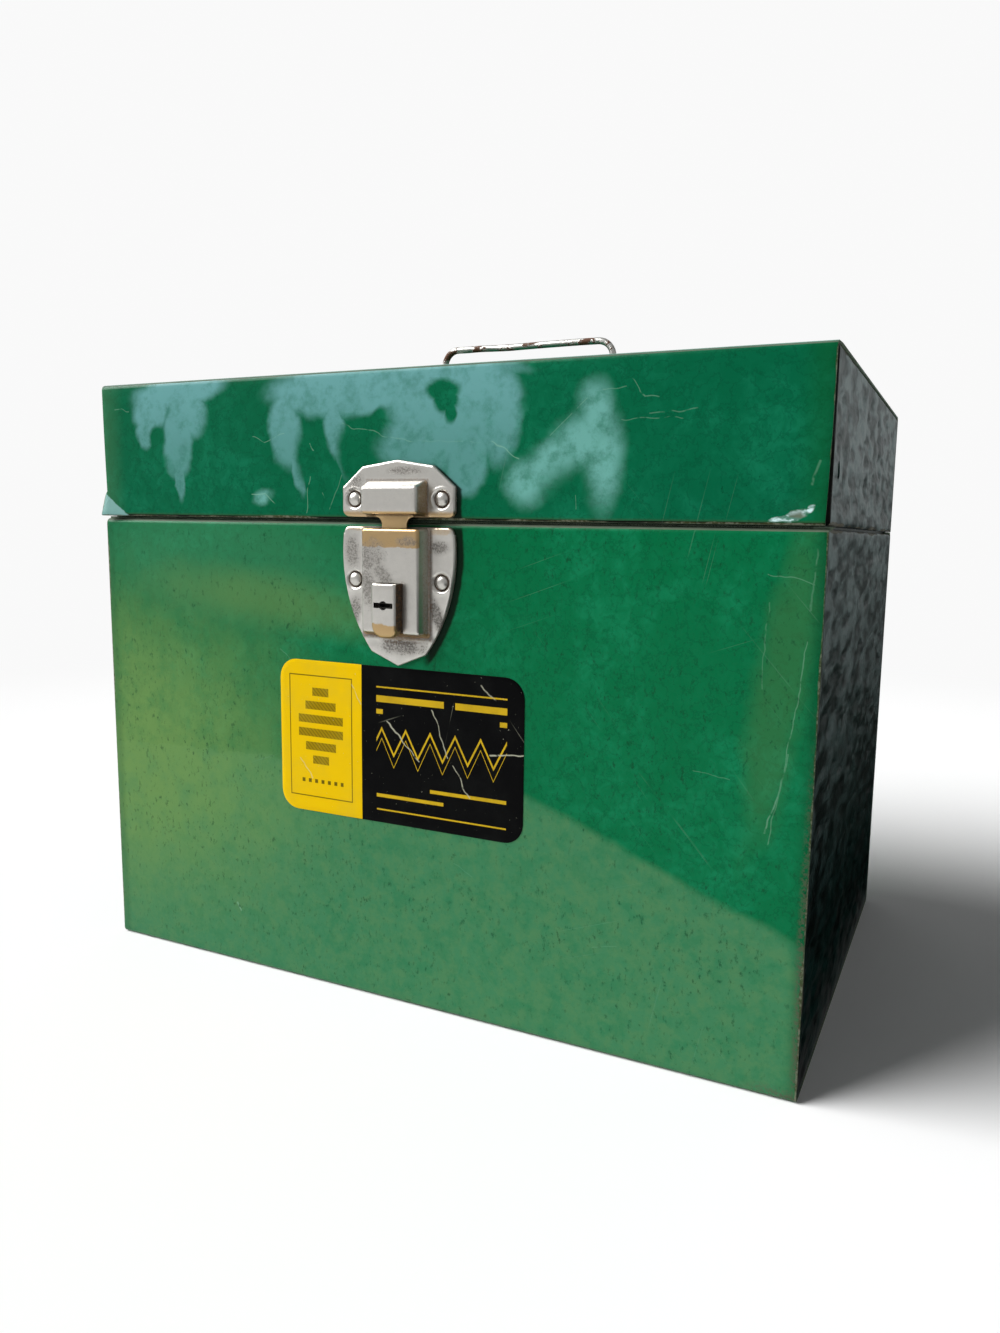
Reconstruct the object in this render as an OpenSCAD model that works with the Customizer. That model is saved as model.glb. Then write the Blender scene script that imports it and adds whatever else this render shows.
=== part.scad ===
// A sheet-steel box for papers, with a hinged lid, a riveted snap lock and a wire bail.
// X runs across the front, Y from front to back and Z up. The origin is the middle of the underside.

/* [Box] */
// Width across the front
box_w = 311; // [260:1:380]
// Depth from front to back
box_d = 203; // [150:1:260]
// Height of the body, up to its shoulder
body_h = 192; // [165:1:260]
// Height of the lid, from its hem to its top
lid_h = 56; // [46:1:90]
// Thickness of the sheet steel
sheet = 0.8; // [0.6:0.1:1]
// Outer radius of the folded edges
fold_r = 2.2; // [1.6:0.1:4]
// Gap that shows between the body and the lid
seam_gap = 1; // [0.8:0.1:2]
// Clearance between the lid's hem and the rim that it closes over
lid_clear = 0.5; // [0.4:0.1:1]
// Height of the lid's folded hem
hem_h = 7; // [5:0.5:10]
// Width of the flanges that join the end panels to the wrappers
flange_w = 9; // [6:0.5:14]
// How far the mouth rim stands up inside the lid
rim_rise = 8; // [5:0.5:12]
// How far the mouth rim hangs down inside the body
rim_drop = 10; // [6:0.5:16]
// Radius of the hanging hole in each end of the lid
hang_hole_r = 2.9; // [1.5:0.1:3.4]
// Distance of the hanging hole from the front face
hang_hole_back = 15; // [12:0.5:30]
// Height of the hanging hole above the lid's hem
hang_hole_up = 18; // [12:0.5:30]

/* [Hinge] */
// Length of the continuous hinge
hinge_l = 276; // [200:1:300]
// Number of knuckles
knuckles = 12; // [6:2:16]
// Outer radius of the knuckles
knuckle_r = 2; // [1.8:0.1:3]
// Radius of the hinge pin
pin_r = 1.1; // [0.8:0.05:1.3]
// Running clearance round the pin
pin_clear = 0.05; // [0.03:0.01:0.1]
// Thickness of the hinge leaves
leaf_t = 0.8; // [0.6:0.1:1.2]
// Height of each hinge leaf, measured from the pin
leaf_h = 16; // [10:0.5:24]

/* [Lock plates] */
// Sideways place of the lock from the middle of the box
lock_x = -2.2; // [-20:0.1:20]
// Thickness of the two riveted plates
plate_t = 1.4; // [1.2:0.1:2]
// Half width of the lower plate at its widest
shield_half_w = 25.2; // [23:0.2:30]
// Height of the lower plate, from its point to its top
shield_h = 53; // [50:0.5:60]
// Radius of the lower plate's curved sides
shield_side_r = 62; // [50:1:90]
// Half width of the upper plate
strike_half_w = 25; // [23:0.2:30]
// Height of the upper plate, from its bottom edge to its point
strike_h = 21.4; // [18:0.2:26]
// Half distance between the two rivets of a plate
rivet_half_gap = 19.3; // [18:0.1:21]
// Radius of the rivet shanks
rivet_r = 1.5; // [1.2:0.1:2]
// Radius of the domed rivet heads
rivet_head_r = 2.7; // [2.4:0.1:3.2]
// Radius of the pressed hollow round each rivet
dimple_r = 4.2; // [3.8:0.1:4.8]

/* [Lock] */
// Half width of the lock case at the plate
case_half_w = 15; // [14:0.5:16]
// Height of the lock case at the plate
case_h = 41; // [39:0.5:44]
// How far the lock case stands out from the box
case_out = 6.6; // [6.6:0.1:8]
// How much each side wall of the lock case leans in
case_draft = 2.5; // [1.5:0.1:3]
// Half width of the housing over the tongue's head, at the plate
housing_half_w = 13.4; // [12:0.1:15]
// Height of the housing at the plate
housing_h = 13.4; // [12:0.1:14]
// How far the housing stands out from the box
housing_out = 7.4; // [6.6:0.1:8.4]
// How much each side wall of the housing leans in
housing_draft = 1.1; // [0.6:0.1:2]
// Wall of the pressed housings
case_wall = 0.7; // [0.5:0.1:0.9]
// Half width of the tongue
tongue_half_w = 5.5; // [5:0.1:6]
// Thickness of the tongue
tongue_t = 1; // [0.8:0.1:1.2]
// Half width of the thumb piece
thumb_half_w = 5.85; // [5.4:0.05:6.4]
// Height of the thumb piece
thumb_h = 20.5; // [19:0.5:22]
// How far the thumb piece stands out from the lock case
thumb_out = 4.2; // [3.8:0.1:6]
// Travel of the thumb piece
thumb_travel = 4; // [2:0.5:4]
// Radius of the lock barrel
barrel_r = 2.8; // [2.4:0.1:3]
// Height of the keyhole above the bottom of the lock case
keyhole_up = 12.2; // [12:0.1:13]
// Radius of the round part of the keyhole
keyhole_r = 1.7; // [1.4:0.1:2]
// Width of the keyhole's slot
keyhole_w = 8.4; // [7:0.1:9]
// Height of the keyhole's slot
keyhole_slot = 2; // [1.4:0.1:2.4]

/* [Handle] */
// Outer width of the wire bail
bail_w = 89; // [70:1:120]
// Height of the bail above the lid
bail_h = 27; // [22:0.5:40]
// Radius of the wire
wire_r = 1.5; // [1.2:0.1:2]
// Radius of the upper bends, to the middle of the wire
bail_bend_r = 7; // [5:0.5:10]
// Radius of the lower bends, to the middle of the wire
pivot_bend_r = 3.2; // [3:0.1:5]
// Width of each clip that holds the bail
clip_w = 9; // [6:0.5:14]
// Distance of the clip's rivets from the pivot
clip_rivet_gap = 7.5; // [6.8:0.1:10]
// Thickness of the clips
clip_t = 1; // [0.8:0.1:1.4]

/* [Label] */
// Width of the label
label_w = 111.5; // [60:0.5:160]
// Height of the label
label_h = 62.5; // [40:0.5:90]
// Corner radius of the label
label_r = 8; // [3:0.5:12]
// Thickness of the label
label_t = 0.2; // [0.1:0.05:0.4]
// Sideways place of the label's middle from the middle of the box
label_x = -4; // [-30:0.5:30]
// Gap between the lock's point and the label
label_drop = 0.8; // [0.5:0.1:20]

/* [Hidden] */
$fn = 64;

// Colours of the enamel, the plated metal, the plain steel and the print
green = [0.05, 0.45, 0.30];
nickel = [0.72, 0.70, 0.66];
dark_steel = [0.35, 0.34, 0.32];
label_black = [0.05, 0.05, 0.05];

// Box heights and insets
lid_z = body_h + seam_gap;
top_z = lid_z + lid_h;
rim_inset = 2 * sheet + lid_clear;
inner_fold_r = fold_r - sheet;
rim_corner_r = 3;
overcut = 1;

// Hinge axis
hinge_y = box_d / 2 + knuckle_r + 0.2;
hinge_z = body_h + seam_gap / 2;
knuckle_gap = 0.4;
knuckle_l = hinge_l / knuckles;
leaf_clear = 0.3;
pin_overhang = 1;

// Plates: heights above the underside of the box
plate_gap = 0.8;
shield_top = body_h - 1.6;
shield_low = shield_top - shield_h;
shield_widest = shield_top - 10;
shield_shoulder_r = 2.5;
shield_facet_z = shield_low + 5;
shield_facet_half_w = 12.3;
strike_low = lid_z + plate_gap;
strike_corner_r = 3;
strike_rivet_z = strike_low + 6.8;
latch_rivet_z = shield_top - 20.4;
dimple_depth = 0.8;
rivet_clear = 0.05;
rivet_clinch_t = 0.7;
rivet_end_clear = 0.3;
rivet_head_h = 1.6;

// Lock case and the layers inside it, as distances out from the front face
case_top = shield_top - 0.4;
case_low = case_top - case_h;
pad_out = plate_t + 0.4;
tongue_out = pad_out + 0.4;
tongue_front = tongue_out + tongue_t;
case_inner = case_out - case_wall;
spring_t = 0.35;
slide_t = 0.7;
slide_out = case_inner - spring_t - 0.1 - slide_t;
thumb_front = case_out + thumb_out;
thumb_t = 0.8;
thumb_low = case_low - 0.2;
thumb_top = thumb_low + thumb_h;
thumb_nose_r = (thumb_front - slide_out) / 2;
slide_clear = 0.15;
thumb_slot_clear = 0.1;

// Barrel and its hooked bolt
barrel_z = case_low + keyhole_up;
barrel_foot = 0.4;
barrel_end = thumb_front - thumb_t - 0.4;
barrel_clear = 0.05;
barrel_slot_clear = 0.35;
hook_in_r = 8.3;
hook_out_r = 10.3;
hook_arm_w = 2;
hook_arm_angle = -30;
hook_lead = 20;
hook_tail = 36;
hook_clear = 0.6;

// Tongue, measured up from the barrel
tongue_clear = 0.6;
toe_low = 5.2;
toe_top = 7.2;
toe_right = 3.4;
notch_left = -1.2;
notch_top = hook_out_r + hook_clear;
window_low = barrel_z + 16.3;
window_h = 4;
window_half_w = 2.5;
tongue_top = strike_low + 9.5;
tongue_flare = 3;

// Strike housing
housing_low = strike_low + 0.4;
housing_mouth_out = 4.3;

// Catch spring, whose tail passes under the bar at the top of the thumb piece's plate
spring_half_w = 2;
window_clear = 0.6;
arm_w = 2;
bar_low = barrel_z + 13;
bar_h = 1.6;

// Bail and clips
bail_half = bail_w / 2 - wire_r;
wire_clear = 0.08;
pivot_z = top_z + wire_r + 0.35;
bail_top = top_z + bail_h - wire_r;
pivot_l = clip_w + 2.5;
clip_x = bail_half + pivot_bend_r + 0.8 + clip_w / 2;
clip_foot = clip_rivet_gap + 4;
clip_bore_r = wire_r + wire_clear;

// Label
label_z = shield_low - label_drop - label_h / 2;

// A shape drawn in Y and Z, extruded along X about the middle
module along_x(length) {
    rotate([90, 0, 90]) linear_extrude(length, center = true) children();
}

// A frame on the box's front: x across, y up from the underside, z outwards
module on_front(x = lock_x) {
    translate([x, -box_d / 2, 0]) rotate([90, 0, 0]) children();
}

// A rectangle with round corners, centred across and standing on low
module round_rect(width, low, high, r) {
    translate([-width / 2 + r, low]) square([width - 2 * r, high - low]);
    translate([-width / 2, low + r]) square([width, high - low - 2 * r]);
    for (side = [-1, 1], z = [low + r, high - r])
        translate([side * (width / 2 - r), z]) circle(r);
}

// A rectangle with two round corners at its bottom and square corners at its top
module cup_shape(width, low, high, r) {
    translate([-width / 2 + r, low]) square([width - 2 * r, high - low]);
    translate([-width / 2, low + r]) square([width, high - low - r]);
    for (side = [-1, 1]) translate([side * (width / 2 - r), low + r]) circle(r);
}

// The same with the round corners at its top
module cap_shape(width, low, high, r) {
    translate([0, low + high]) mirror([0, 1]) cup_shape(width, low, high, r);
}

// A hole of the rivets' size through the front sheet, at both sides of the lock
module plate_rivet_holes(z, depth = 20) {
    on_front() for (side = [-1, 1])
        translate([side * rivet_half_gap, z, -depth / 2])
            cylinder(r = rivet_r + rivet_clear, h = depth);
}

// Front, bottom and back of the body, folded from one sheet, with a shoulder along the mouth
module body_wrapper() {
    color(green) difference() {
        along_x(box_w) difference() {
            round_rect(box_d, 0, body_h, fold_r);
            round_rect(box_d - 2 * sheet, sheet, body_h - sheet, inner_fold_r);
            translate([-box_d / 2 + rim_inset, body_h / 2]) square([box_d - 2 * rim_inset, body_h]);
        }
        plate_rivet_holes(latch_rivet_z);
    }
}

// An end panel of the body, with flanges behind the wrapper and a shoulder at the mouth
module body_side() {
    span = box_d - 2 * sheet;
    color(green) {
        translate([(box_w - sheet) / 2, 0, 0]) along_x(sheet) {
            round_rect(span, sheet, body_h - sheet, inner_fold_r);
            translate([-box_d / 2 + rim_inset, body_h / 2])
                square([box_d - 2 * rim_inset, body_h / 2]);
        }
        translate([(box_w - flange_w) / 2, 0, 0]) along_x(flange_w) difference() {
            cup_shape(span, sheet, body_h - 2 * sheet - rim_drop, inner_fold_r);
            cup_shape(span - 2 * sheet, 2 * sheet, body_h, inner_fold_r - sheet / 2);
        }
        translate([(box_w - rim_inset) / 2, 0, body_h - sheet / 2])
            cube([rim_inset, box_d - 2 * rim_inset, sheet], center = true);
    }
}

// The rim that the lid closes over, a strip bent round the mouth
module mouth_rim() {
    rim_w = box_w - 2 * rim_inset;
    rim_d = box_d - 2 * rim_inset;
    color(green) translate([0, 0, body_h - rim_drop]) linear_extrude(rim_drop + rim_rise)
        difference() {
            round_rect(rim_w, -rim_d / 2, rim_d / 2, rim_corner_r);
            round_rect(rim_w - 2 * sheet, sheet - rim_d / 2, rim_d / 2 - sheet, rim_corner_r - sheet);
        }
}

// Front, top and back of the lid, folded from one sheet, with a hem along the front
module lid_wrapper() {
    color(green) difference() {
        along_x(box_w) {
            difference() {
                cap_shape(box_d, lid_z + sheet, top_z, fold_r);
                cap_shape(box_d - 2 * sheet, lid_z, top_z - sheet, inner_fold_r);
            }
            translate([box_d / 2 - sheet, lid_z]) square([sheet, 2 * sheet]);
            translate([-box_d / 2 + sheet, lid_z + sheet]) circle(sheet);
            translate([-box_d / 2, lid_z + sheet]) square([2 * sheet, hem_h - sheet]);
        }
        plate_rivet_holes(strike_rivet_z);
        // Clears the clinched ends of the rivets from the hem's inner layer
        on_front() for (side = [-1, 1]) translate([side * rivet_half_gap, strike_rivet_z, -2 * fold_r])
            cylinder(r = rivet_head_r + rivet_end_clear, h = 2 * fold_r - sheet);
        for (side = [-1, 1], end = [-1, 1])
            translate([side * clip_x, end * clip_rivet_gap, top_z - 2 * sheet])
                cylinder(r = rivet_r + rivet_clear, h = 4 * sheet);
    }
}

// An end panel of the lid, with flanges behind the wrapper, a hem and a hanging hole
module lid_side() {
    span = box_d - 2 * sheet;
    hem_span = box_d - 4 * sheet - 2 * slide_clear;
    flange_low = lid_z + hem_h + sheet;
    color(green) difference() {
        union() {
            translate([(box_w - sheet) / 2, 0, 0]) along_x(sheet) difference() {
                cap_shape(span, lid_z, top_z - sheet, inner_fold_r);
                // Clears the round fold of the front hem
                translate([-box_d / 2, lid_z - overcut]) square([2 * sheet, hem_h + overcut]);
            }
            translate([(box_w - flange_w) / 2, 0, 0]) along_x(flange_w) difference() {
                cap_shape(span, flange_low, top_z - sheet, inner_fold_r);
                cap_shape(span - 2 * sheet, lid_z, top_z - 2 * sheet, inner_fold_r - sheet / 2);
            }
            translate([box_w / 2 - 1.5 * sheet, 0, lid_z + hem_h / 2])
                cube([sheet, hem_span, hem_h], center = true);
        }
        translate([box_w / 2 - 2 * sheet, -box_d / 2 + hang_hole_back, lid_z + hang_hole_up])
            rotate([0, 90, 0]) cylinder(r = hang_hole_r, h = 4 * sheet);
    }
}

// Every second knuckle of the hinge, starting at first, along the pin
module knuckle_row(first) {
    for (i = [first : 2 : knuckles - 1])
        translate([(i + 0.5) * knuckle_l - hinge_l / 2, 0, 0]) children();
}

// One leaf of the hinge: side 1 stands up on the lid and side -1 hangs down on the body
module hinge_leaf(side, first) {
    edge = knuckle_r + leaf_clear;
    color(nickel) translate([0, 0, hinge_z]) {
        translate([-hinge_l / 2, box_d / 2, side > 0 ? edge : -leaf_h])
            cube([hinge_l, leaf_t, leaf_h - edge]);
        knuckle_row(first) difference() {
            union() {
                translate([-(knuckle_l - knuckle_gap) / 2, box_d / 2, side > 0 ? 0 : -edge])
                    cube([knuckle_l - knuckle_gap, leaf_t, edge]);
                translate([0, hinge_y, 0]) along_x(knuckle_l - knuckle_gap) circle(knuckle_r);
            }
            translate([0, hinge_y, 0]) along_x(knuckle_l) circle(pin_r + pin_clear);
        }
    }
}

// The wire that the knuckles turn on
module hinge_pin() {
    color(dark_steel) translate([0, hinge_y, hinge_z])
        along_x(hinge_l + 2 * pin_overhang) circle(pin_r);
}

// A rivet that points along +Z: a domed head above 0, a shank and a clinched end below grip
module rivet(grip) {
    cap_r = (rivet_head_r * rivet_head_r + rivet_head_h * rivet_head_h) / (2 * rivet_head_h);
    intersection() {
        translate([0, 0, rivet_head_h - cap_r]) sphere(cap_r);
        cylinder(r = 2 * rivet_head_r, h = rivet_head_h);
    }
    translate([0, 0, -grip - rivet_clinch_t / 2]) cylinder(r = rivet_r, h = grip + rivet_clinch_t);
    translate([0, 0, -grip - rivet_clinch_t]) cylinder(r = rivet_head_r, h = rivet_clinch_t);
}

// A pressed plate with a hollow and a hole for each of its two rivets
module riveted_plate(rivet_z) {
    difference() {
        linear_extrude(plate_t) children();
        for (side = [-1, 1]) translate([side * rivet_half_gap, rivet_z, 0]) {
            translate([0, 0, plate_t - dimple_depth])
                cylinder(r1 = rivet_head_r + 0.2, r2 = dimple_r, h = dimple_depth);
            translate([0, 0, plate_t]) cylinder(r = dimple_r, h = overcut);
            translate([0, 0, -overcut]) cylinder(r = rivet_r + rivet_clear, h = plate_t + overcut);
        }
    }
}

// The two rivets of one plate
module plate_rivets(rivet_z) {
    color(nickel) on_front() for (side = [-1, 1])
        translate([side * rivet_half_gap, rivet_z, plate_t - dimple_depth])
            rivet(plate_t - dimple_depth + sheet);
}

// Outline of the lower plate: curved sides, small shoulders and a faceted point
module shield_shape() {
    side_x = shield_side_r - shield_half_w;
    top_half_w = shield_half_w - 0.8;
    intersection() {
        intersection_for(side = [-1, 1])
            translate([side * side_x, shield_widest]) circle(shield_side_r, $fn = 180);
        union() {
            translate([-shield_half_w, shield_facet_z]) square([2 * shield_half_w, shield_widest - shield_facet_z]);
            round_rect(2 * top_half_w, shield_facet_z, shield_top, shield_shoulder_r);
            polygon([[0, shield_low], [shield_facet_half_w, shield_facet_z + 0.01],
                     [-shield_facet_half_w, shield_facet_z + 0.01]]);
        }
    }
}

// Outline of the upper plate: a low roof with a point, and round bottom corners
module strike_shape() {
    corner_z = strike_low + 11.3;
    roof_half_w = 15.7;
    roof_z = strike_low + strike_h - 2.3;
    intersection() {
        polygon([[0, strike_low + strike_h], [roof_half_w, roof_z], [strike_half_w, corner_z],
                 [strike_half_w, strike_low], [-strike_half_w, strike_low],
                 [-strike_half_w, corner_z], [-roof_half_w, roof_z]]);
        cup_shape(2 * strike_half_w + 0.02, strike_low, strike_low + 2 * strike_h, strike_corner_r);
    }
}

// A pressed box whose side, low and high walls lean in by their drafts
module pressed_box(half_w, low, high, base, out, draft, low_draft, high_draft) {
    hull() {
        translate([-half_w, low, base]) cube([2 * half_w, high - low, 0.01]);
        translate([-half_w + draft, low + low_draft, out - 0.01])
            cube([2 * (half_w - draft), high - low - low_draft - high_draft, 0.01]);
    }
}

// The same as a shell with an open back
module pressed_shell(half_w, low, high, base, out, draft, low_draft, high_draft) {
    difference() {
        pressed_box(half_w, low, high, base, out, draft, low_draft, high_draft);
        pressed_box(half_w - case_wall, low + case_wall, high - case_wall,
                    base - 0.02, out - case_wall, draft, low_draft, high_draft);
    }
}

// The lower plate with its raised pad and the seat of the barrel
module latch_plate() {
    color(nickel) on_front() difference() {
        union() {
            riveted_plate(latch_rivet_z) shield_shape();
            translate([-case_half_w, case_low, plate_t - 0.01])
                cube([2 * case_half_w, case_h, pad_out - plate_t + 0.01]);
        }
        translate([0, barrel_z, barrel_foot - slide_clear])
            cylinder(r = barrel_r + barrel_clear, h = pad_out);
    }
}

// The pressed case of the lock, open for the tongue at the top and for the thumb piece below
module latch_case() {
    slot_half_w = thumb_half_w + thumb_slot_clear;
    color(nickel) on_front() difference() {
        pressed_shell(case_half_w, case_low, case_top, pad_out, case_out, case_draft, 1.5, 0.4);
        translate([-tongue_half_w - tongue_clear, case_top - 2 * case_wall, pad_out - 0.1])
            cube([2 * (tongue_half_w + tongue_clear), 2 * case_wall + overcut, case_inner - pad_out]);
        translate([-slot_half_w, case_low - overcut, slide_out - slide_clear])
            cube([2 * slot_half_w, thumb_top - case_low + overcut + slide_clear, case_out]);
    }
}

// Side view of the thumb piece: x outwards, y up, with a round nose at the bottom front
module thumb_profile(inset) {
    front = thumb_front - inset;
    low = thumb_low + inset;
    r = thumb_nose_r - inset;
    translate([slide_out, low + r]) square([front - slide_out, thumb_top - inset - low - r]);
    translate([slide_out, low]) square([front - r - slide_out, r + 0.1]);
    translate([front - r, low + r]) circle(r);
}

// The outline of the keyhole
module keyhole_shape() {
    circle(keyhole_r);
    square([keyhole_w, keyhole_slot], center = true);
}

// The thumb piece with its keyhole, and the plate behind it that runs in the case
module thumb_slide() {
    plate_half_w = 9;
    plate_low = case_low + 7.4;
    plate_top = barrel_z + 8.8;
    slot_half_w = barrel_r + barrel_slot_clear;
    arm_half_w = spring_half_w + window_clear + arm_w;
    color(nickel) on_front() difference() {
        union() {
            rotate([0, -90, 0]) linear_extrude(2 * thumb_half_w, center = true) thumb_profile(0);
            translate([-plate_half_w, plate_low, slide_out])
                cube([2 * plate_half_w, plate_top - plate_low, slide_t]);
            translate([-arm_half_w, plate_top - overcut, slide_out])
                cube([2 * arm_half_w, bar_low + bar_h - plate_top + overcut, slide_t]);
        }
        // Window for the spring's tail, under the bar that presses on it
        translate([-spring_half_w - window_clear, plate_top, slide_out - overcut])
            cube([2 * (spring_half_w + window_clear), bar_low - plate_top, slide_t + 2 * overcut]);
        rotate([0, -90, 0]) linear_extrude(2 * (thumb_half_w - thumb_t), center = true)
            difference() {
                thumb_profile(thumb_t);
                translate([slide_out - overcut, 0]) square([slide_t + overcut, 2 * body_h]);
            }
        // Lets the barrel through over the whole travel
        translate([0, barrel_z, slide_out - overcut]) linear_extrude(slide_t + 2 * overcut) {
            circle(slot_half_w);
            translate([0, thumb_travel]) circle(slot_half_w);
            translate([-slot_half_w, 0]) square([2 * slot_half_w, thumb_travel]);
        }
        translate([0, barrel_z, thumb_front - thumb_t - overcut])
            linear_extrude(thumb_t + 2 * overcut) keyhole_shape();
    }
}

// The barrel behind the keyhole, with a hooked bolt that swings over the tongue's toe
module lock_plug() {
    hook_z = tongue_out + 0.1;
    hook_t = tongue_t - 0.2;
    reach = 2 * hook_out_r;
    color(dark_steel) on_front() translate([0, barrel_z, 0]) {
        difference() {
            translate([0, 0, barrel_foot]) cylinder(r = barrel_r, h = barrel_end - barrel_foot);
            translate([0, 0, barrel_end - 3]) linear_extrude(4)
                square([2 * barrel_r - 0.8, 1.2], center = true);
        }
        translate([0, 0, hook_z]) linear_extrude(hook_t) {
            rotate(hook_arm_angle) translate([0, -hook_arm_w / 2])
                square([hook_in_r + 0.6, hook_arm_w]);
            intersection() {
                difference() {
                    circle(hook_out_r);
                    circle(hook_in_r);
                }
                polygon([[0, 0], [reach * cos(hook_lead), reach * sin(hook_lead)],
                         [reach * cos(hook_tail), -reach * sin(hook_tail)]]);
            }
        }
    }
}

// Outline of the tongue: wide under the housing, a window for the spring and a notch for the bolt
module tongue_shape() {
    flare_z = strike_low + 0.2;
    difference() {
        union() {
            translate([-tongue_half_w, barrel_z + toe_low])
                square([2 * tongue_half_w, tongue_top - barrel_z - toe_low]);
            translate([-tongue_half_w - tongue_flare, flare_z])
                square([2 * (tongue_half_w + tongue_flare), tongue_top - flare_z]);
            for (side = [-1, 1]) difference() {
                translate([side * (tongue_half_w + tongue_flare / 2), flare_z - tongue_flare / 2])
                    square(tongue_flare, center = true);
                translate([side * (tongue_half_w + tongue_flare), flare_z - tongue_flare])
                    circle(tongue_flare);
            }
        }
        translate([-window_half_w, window_low]) square([2 * window_half_w, window_h]);
        translate([notch_left, barrel_z + toe_top])
            square([tongue_half_w - notch_left + overcut, notch_top - toe_top]);
        translate([toe_right, barrel_z + toe_low - overcut])
            square([tongue_half_w - toe_right + overcut, toe_top - toe_low + 2 * overcut]);
    }
}

// The tongue that hangs from the lid into the lock case, with a foot on the upper plate
module strike_tongue() {
    foot_h = 3.5;
    color(nickel) on_front() {
        translate([0, 0, tongue_out]) linear_extrude(tongue_t) tongue_shape();
        translate([-tongue_half_w - tongue_flare, tongue_top - foot_h, plate_t])
            cube([2 * (tongue_half_w + tongue_flare), foot_h, tongue_front - plate_t]);
    }
}

// The upper plate on the lid
module strike_plate() {
    color(nickel) on_front() riveted_plate(strike_rivet_z) strike_shape();
}

// The pressed housing over the head of the tongue
module strike_housing() {
    mouth_half_w = tongue_half_w + tongue_flare + slide_clear;
    color(nickel) on_front() difference() {
        pressed_shell(housing_half_w, housing_low, housing_low + housing_h, plate_t, housing_out,
                      housing_draft, 0.8, 2.4);
        translate([-mouth_half_w, housing_low - overcut, plate_t - 0.1])
            cube([2 * mouth_half_w, overcut + 2 * case_wall, housing_mouth_out]);
    }
}

// The leaf spring that hangs in the case, with its nose in the tongue's window
module catch_spring() {
    nose_z = window_low + window_h / 2;
    seat = case_inner - spring_t;
    nose_out = tongue_out + 0.5;
    side_view = [[seat, case_top - 1.6], [seat, nose_z + 2.6], [nose_out, nose_z],
                 [seat, nose_z - 2.6], [seat, bar_low], [slide_out - 0.2, bar_low - 2.4]];
    color(dark_steel) on_front() rotate([0, -90, 0])
        linear_extrude(2 * spring_half_w, center = true)
            polygon(concat(side_view,
                           [for (i = [len(side_view) - 1 : -1 : 0]) side_view[i] + [spring_t, 0]]));
}

// The wire bail, with its ends turned out into the clips
module bail_handle() {
    leg_top = bail_top - bail_bend_r;
    leg_low = pivot_z + pivot_bend_r;
    bar_half = bail_half - bail_bend_r;
    color(nickel) {
        translate([0, 0, bail_top]) along_x(2 * bar_half) circle(wire_r);
        for (side = [0, 1]) mirror([side, 0, 0]) {
            translate([bail_half, 0, leg_low]) cylinder(r = wire_r, h = leg_top - leg_low);
            translate([bar_half, 0, leg_top]) rotate([90, 0, 0])
                rotate_extrude(angle = 90) translate([bail_bend_r, 0]) circle(wire_r);
            translate([bail_half + pivot_bend_r, 0, leg_low]) rotate([90, 180, 0])
                rotate_extrude(angle = 90) translate([pivot_bend_r, 0]) circle(wire_r);
            translate([bail_half + pivot_bend_r + pivot_l / 2, 0, pivot_z])
                along_x(pivot_l) circle(wire_r);
        }
    }
}

// A clip over one end of the bail: an arch round the wire and two riveted feet
module handle_clip() {
    lift = pivot_z - top_z;
    outer_r = clip_bore_r + clip_t;
    color(nickel) difference() {
        translate([clip_x, 0, top_z]) along_x(clip_w) difference() {
            union() {
                translate([0, lift]) circle(outer_r);
                translate([-outer_r, 0]) square([2 * outer_r, lift]);
                translate([-clip_foot, 0]) square([2 * clip_foot, clip_t]);
            }
            translate([0, lift]) circle(clip_bore_r);
            translate([-clip_bore_r, -overcut]) square([2 * clip_bore_r, lift + overcut]);
            translate([-clip_foot, -2 * overcut]) square([2 * clip_foot, 2 * overcut]);
        }
        for (end = [-1, 1]) translate([clip_x, end * clip_rivet_gap, top_z - overcut])
            cylinder(r = rivet_r + rivet_clear, h = clip_t + 2 * overcut);
    }
}

// The four rivets of the two clips
module handle_rivets() {
    color(nickel) for (side = [-1, 1], end = [-1, 1])
        translate([side * clip_x, end * clip_rivet_gap, top_z + clip_t]) rivet(clip_t + sheet);
}

// The label on the front, a thin printed plate
module label() {
    color(label_black) on_front(label_x) linear_extrude(label_t)
        round_rect(label_w, label_z - label_h / 2, label_z + label_h / 2, label_r);
}

body_wrapper();
mirror([1, 0, 0]) body_side();  // body_side_left
body_side();  // body_side_right
mouth_rim();
lid_wrapper();
mirror([1, 0, 0]) lid_side();  // lid_side_left
lid_side();  // lid_side_right
hinge_leaf(-1, 0);  // hinge_leaf_body
hinge_leaf(1, 1);  // hinge_leaf_lid
hinge_pin();
strike_plate();
strike_housing();
strike_tongue();
plate_rivets(strike_rivet_z);  // strike_rivets
latch_plate();
latch_case();
thumb_slide();
catch_spring();
lock_plug();
plate_rivets(latch_rivet_z);  // latch_rivets
bail_handle();
mirror([1, 0, 0]) handle_clip();  // handle_clip_left
handle_clip();  // handle_clip_right
handle_rivets();
label();
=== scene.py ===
"""A green sheet-steel box for papers, dressed around its packed construction frame."""
import math

import bmesh
import bpy
import numpy as np
from bpy.props import FloatProperty, FloatVectorProperty, PointerProperty
from mathutils import Matrix, Vector, noise


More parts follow.
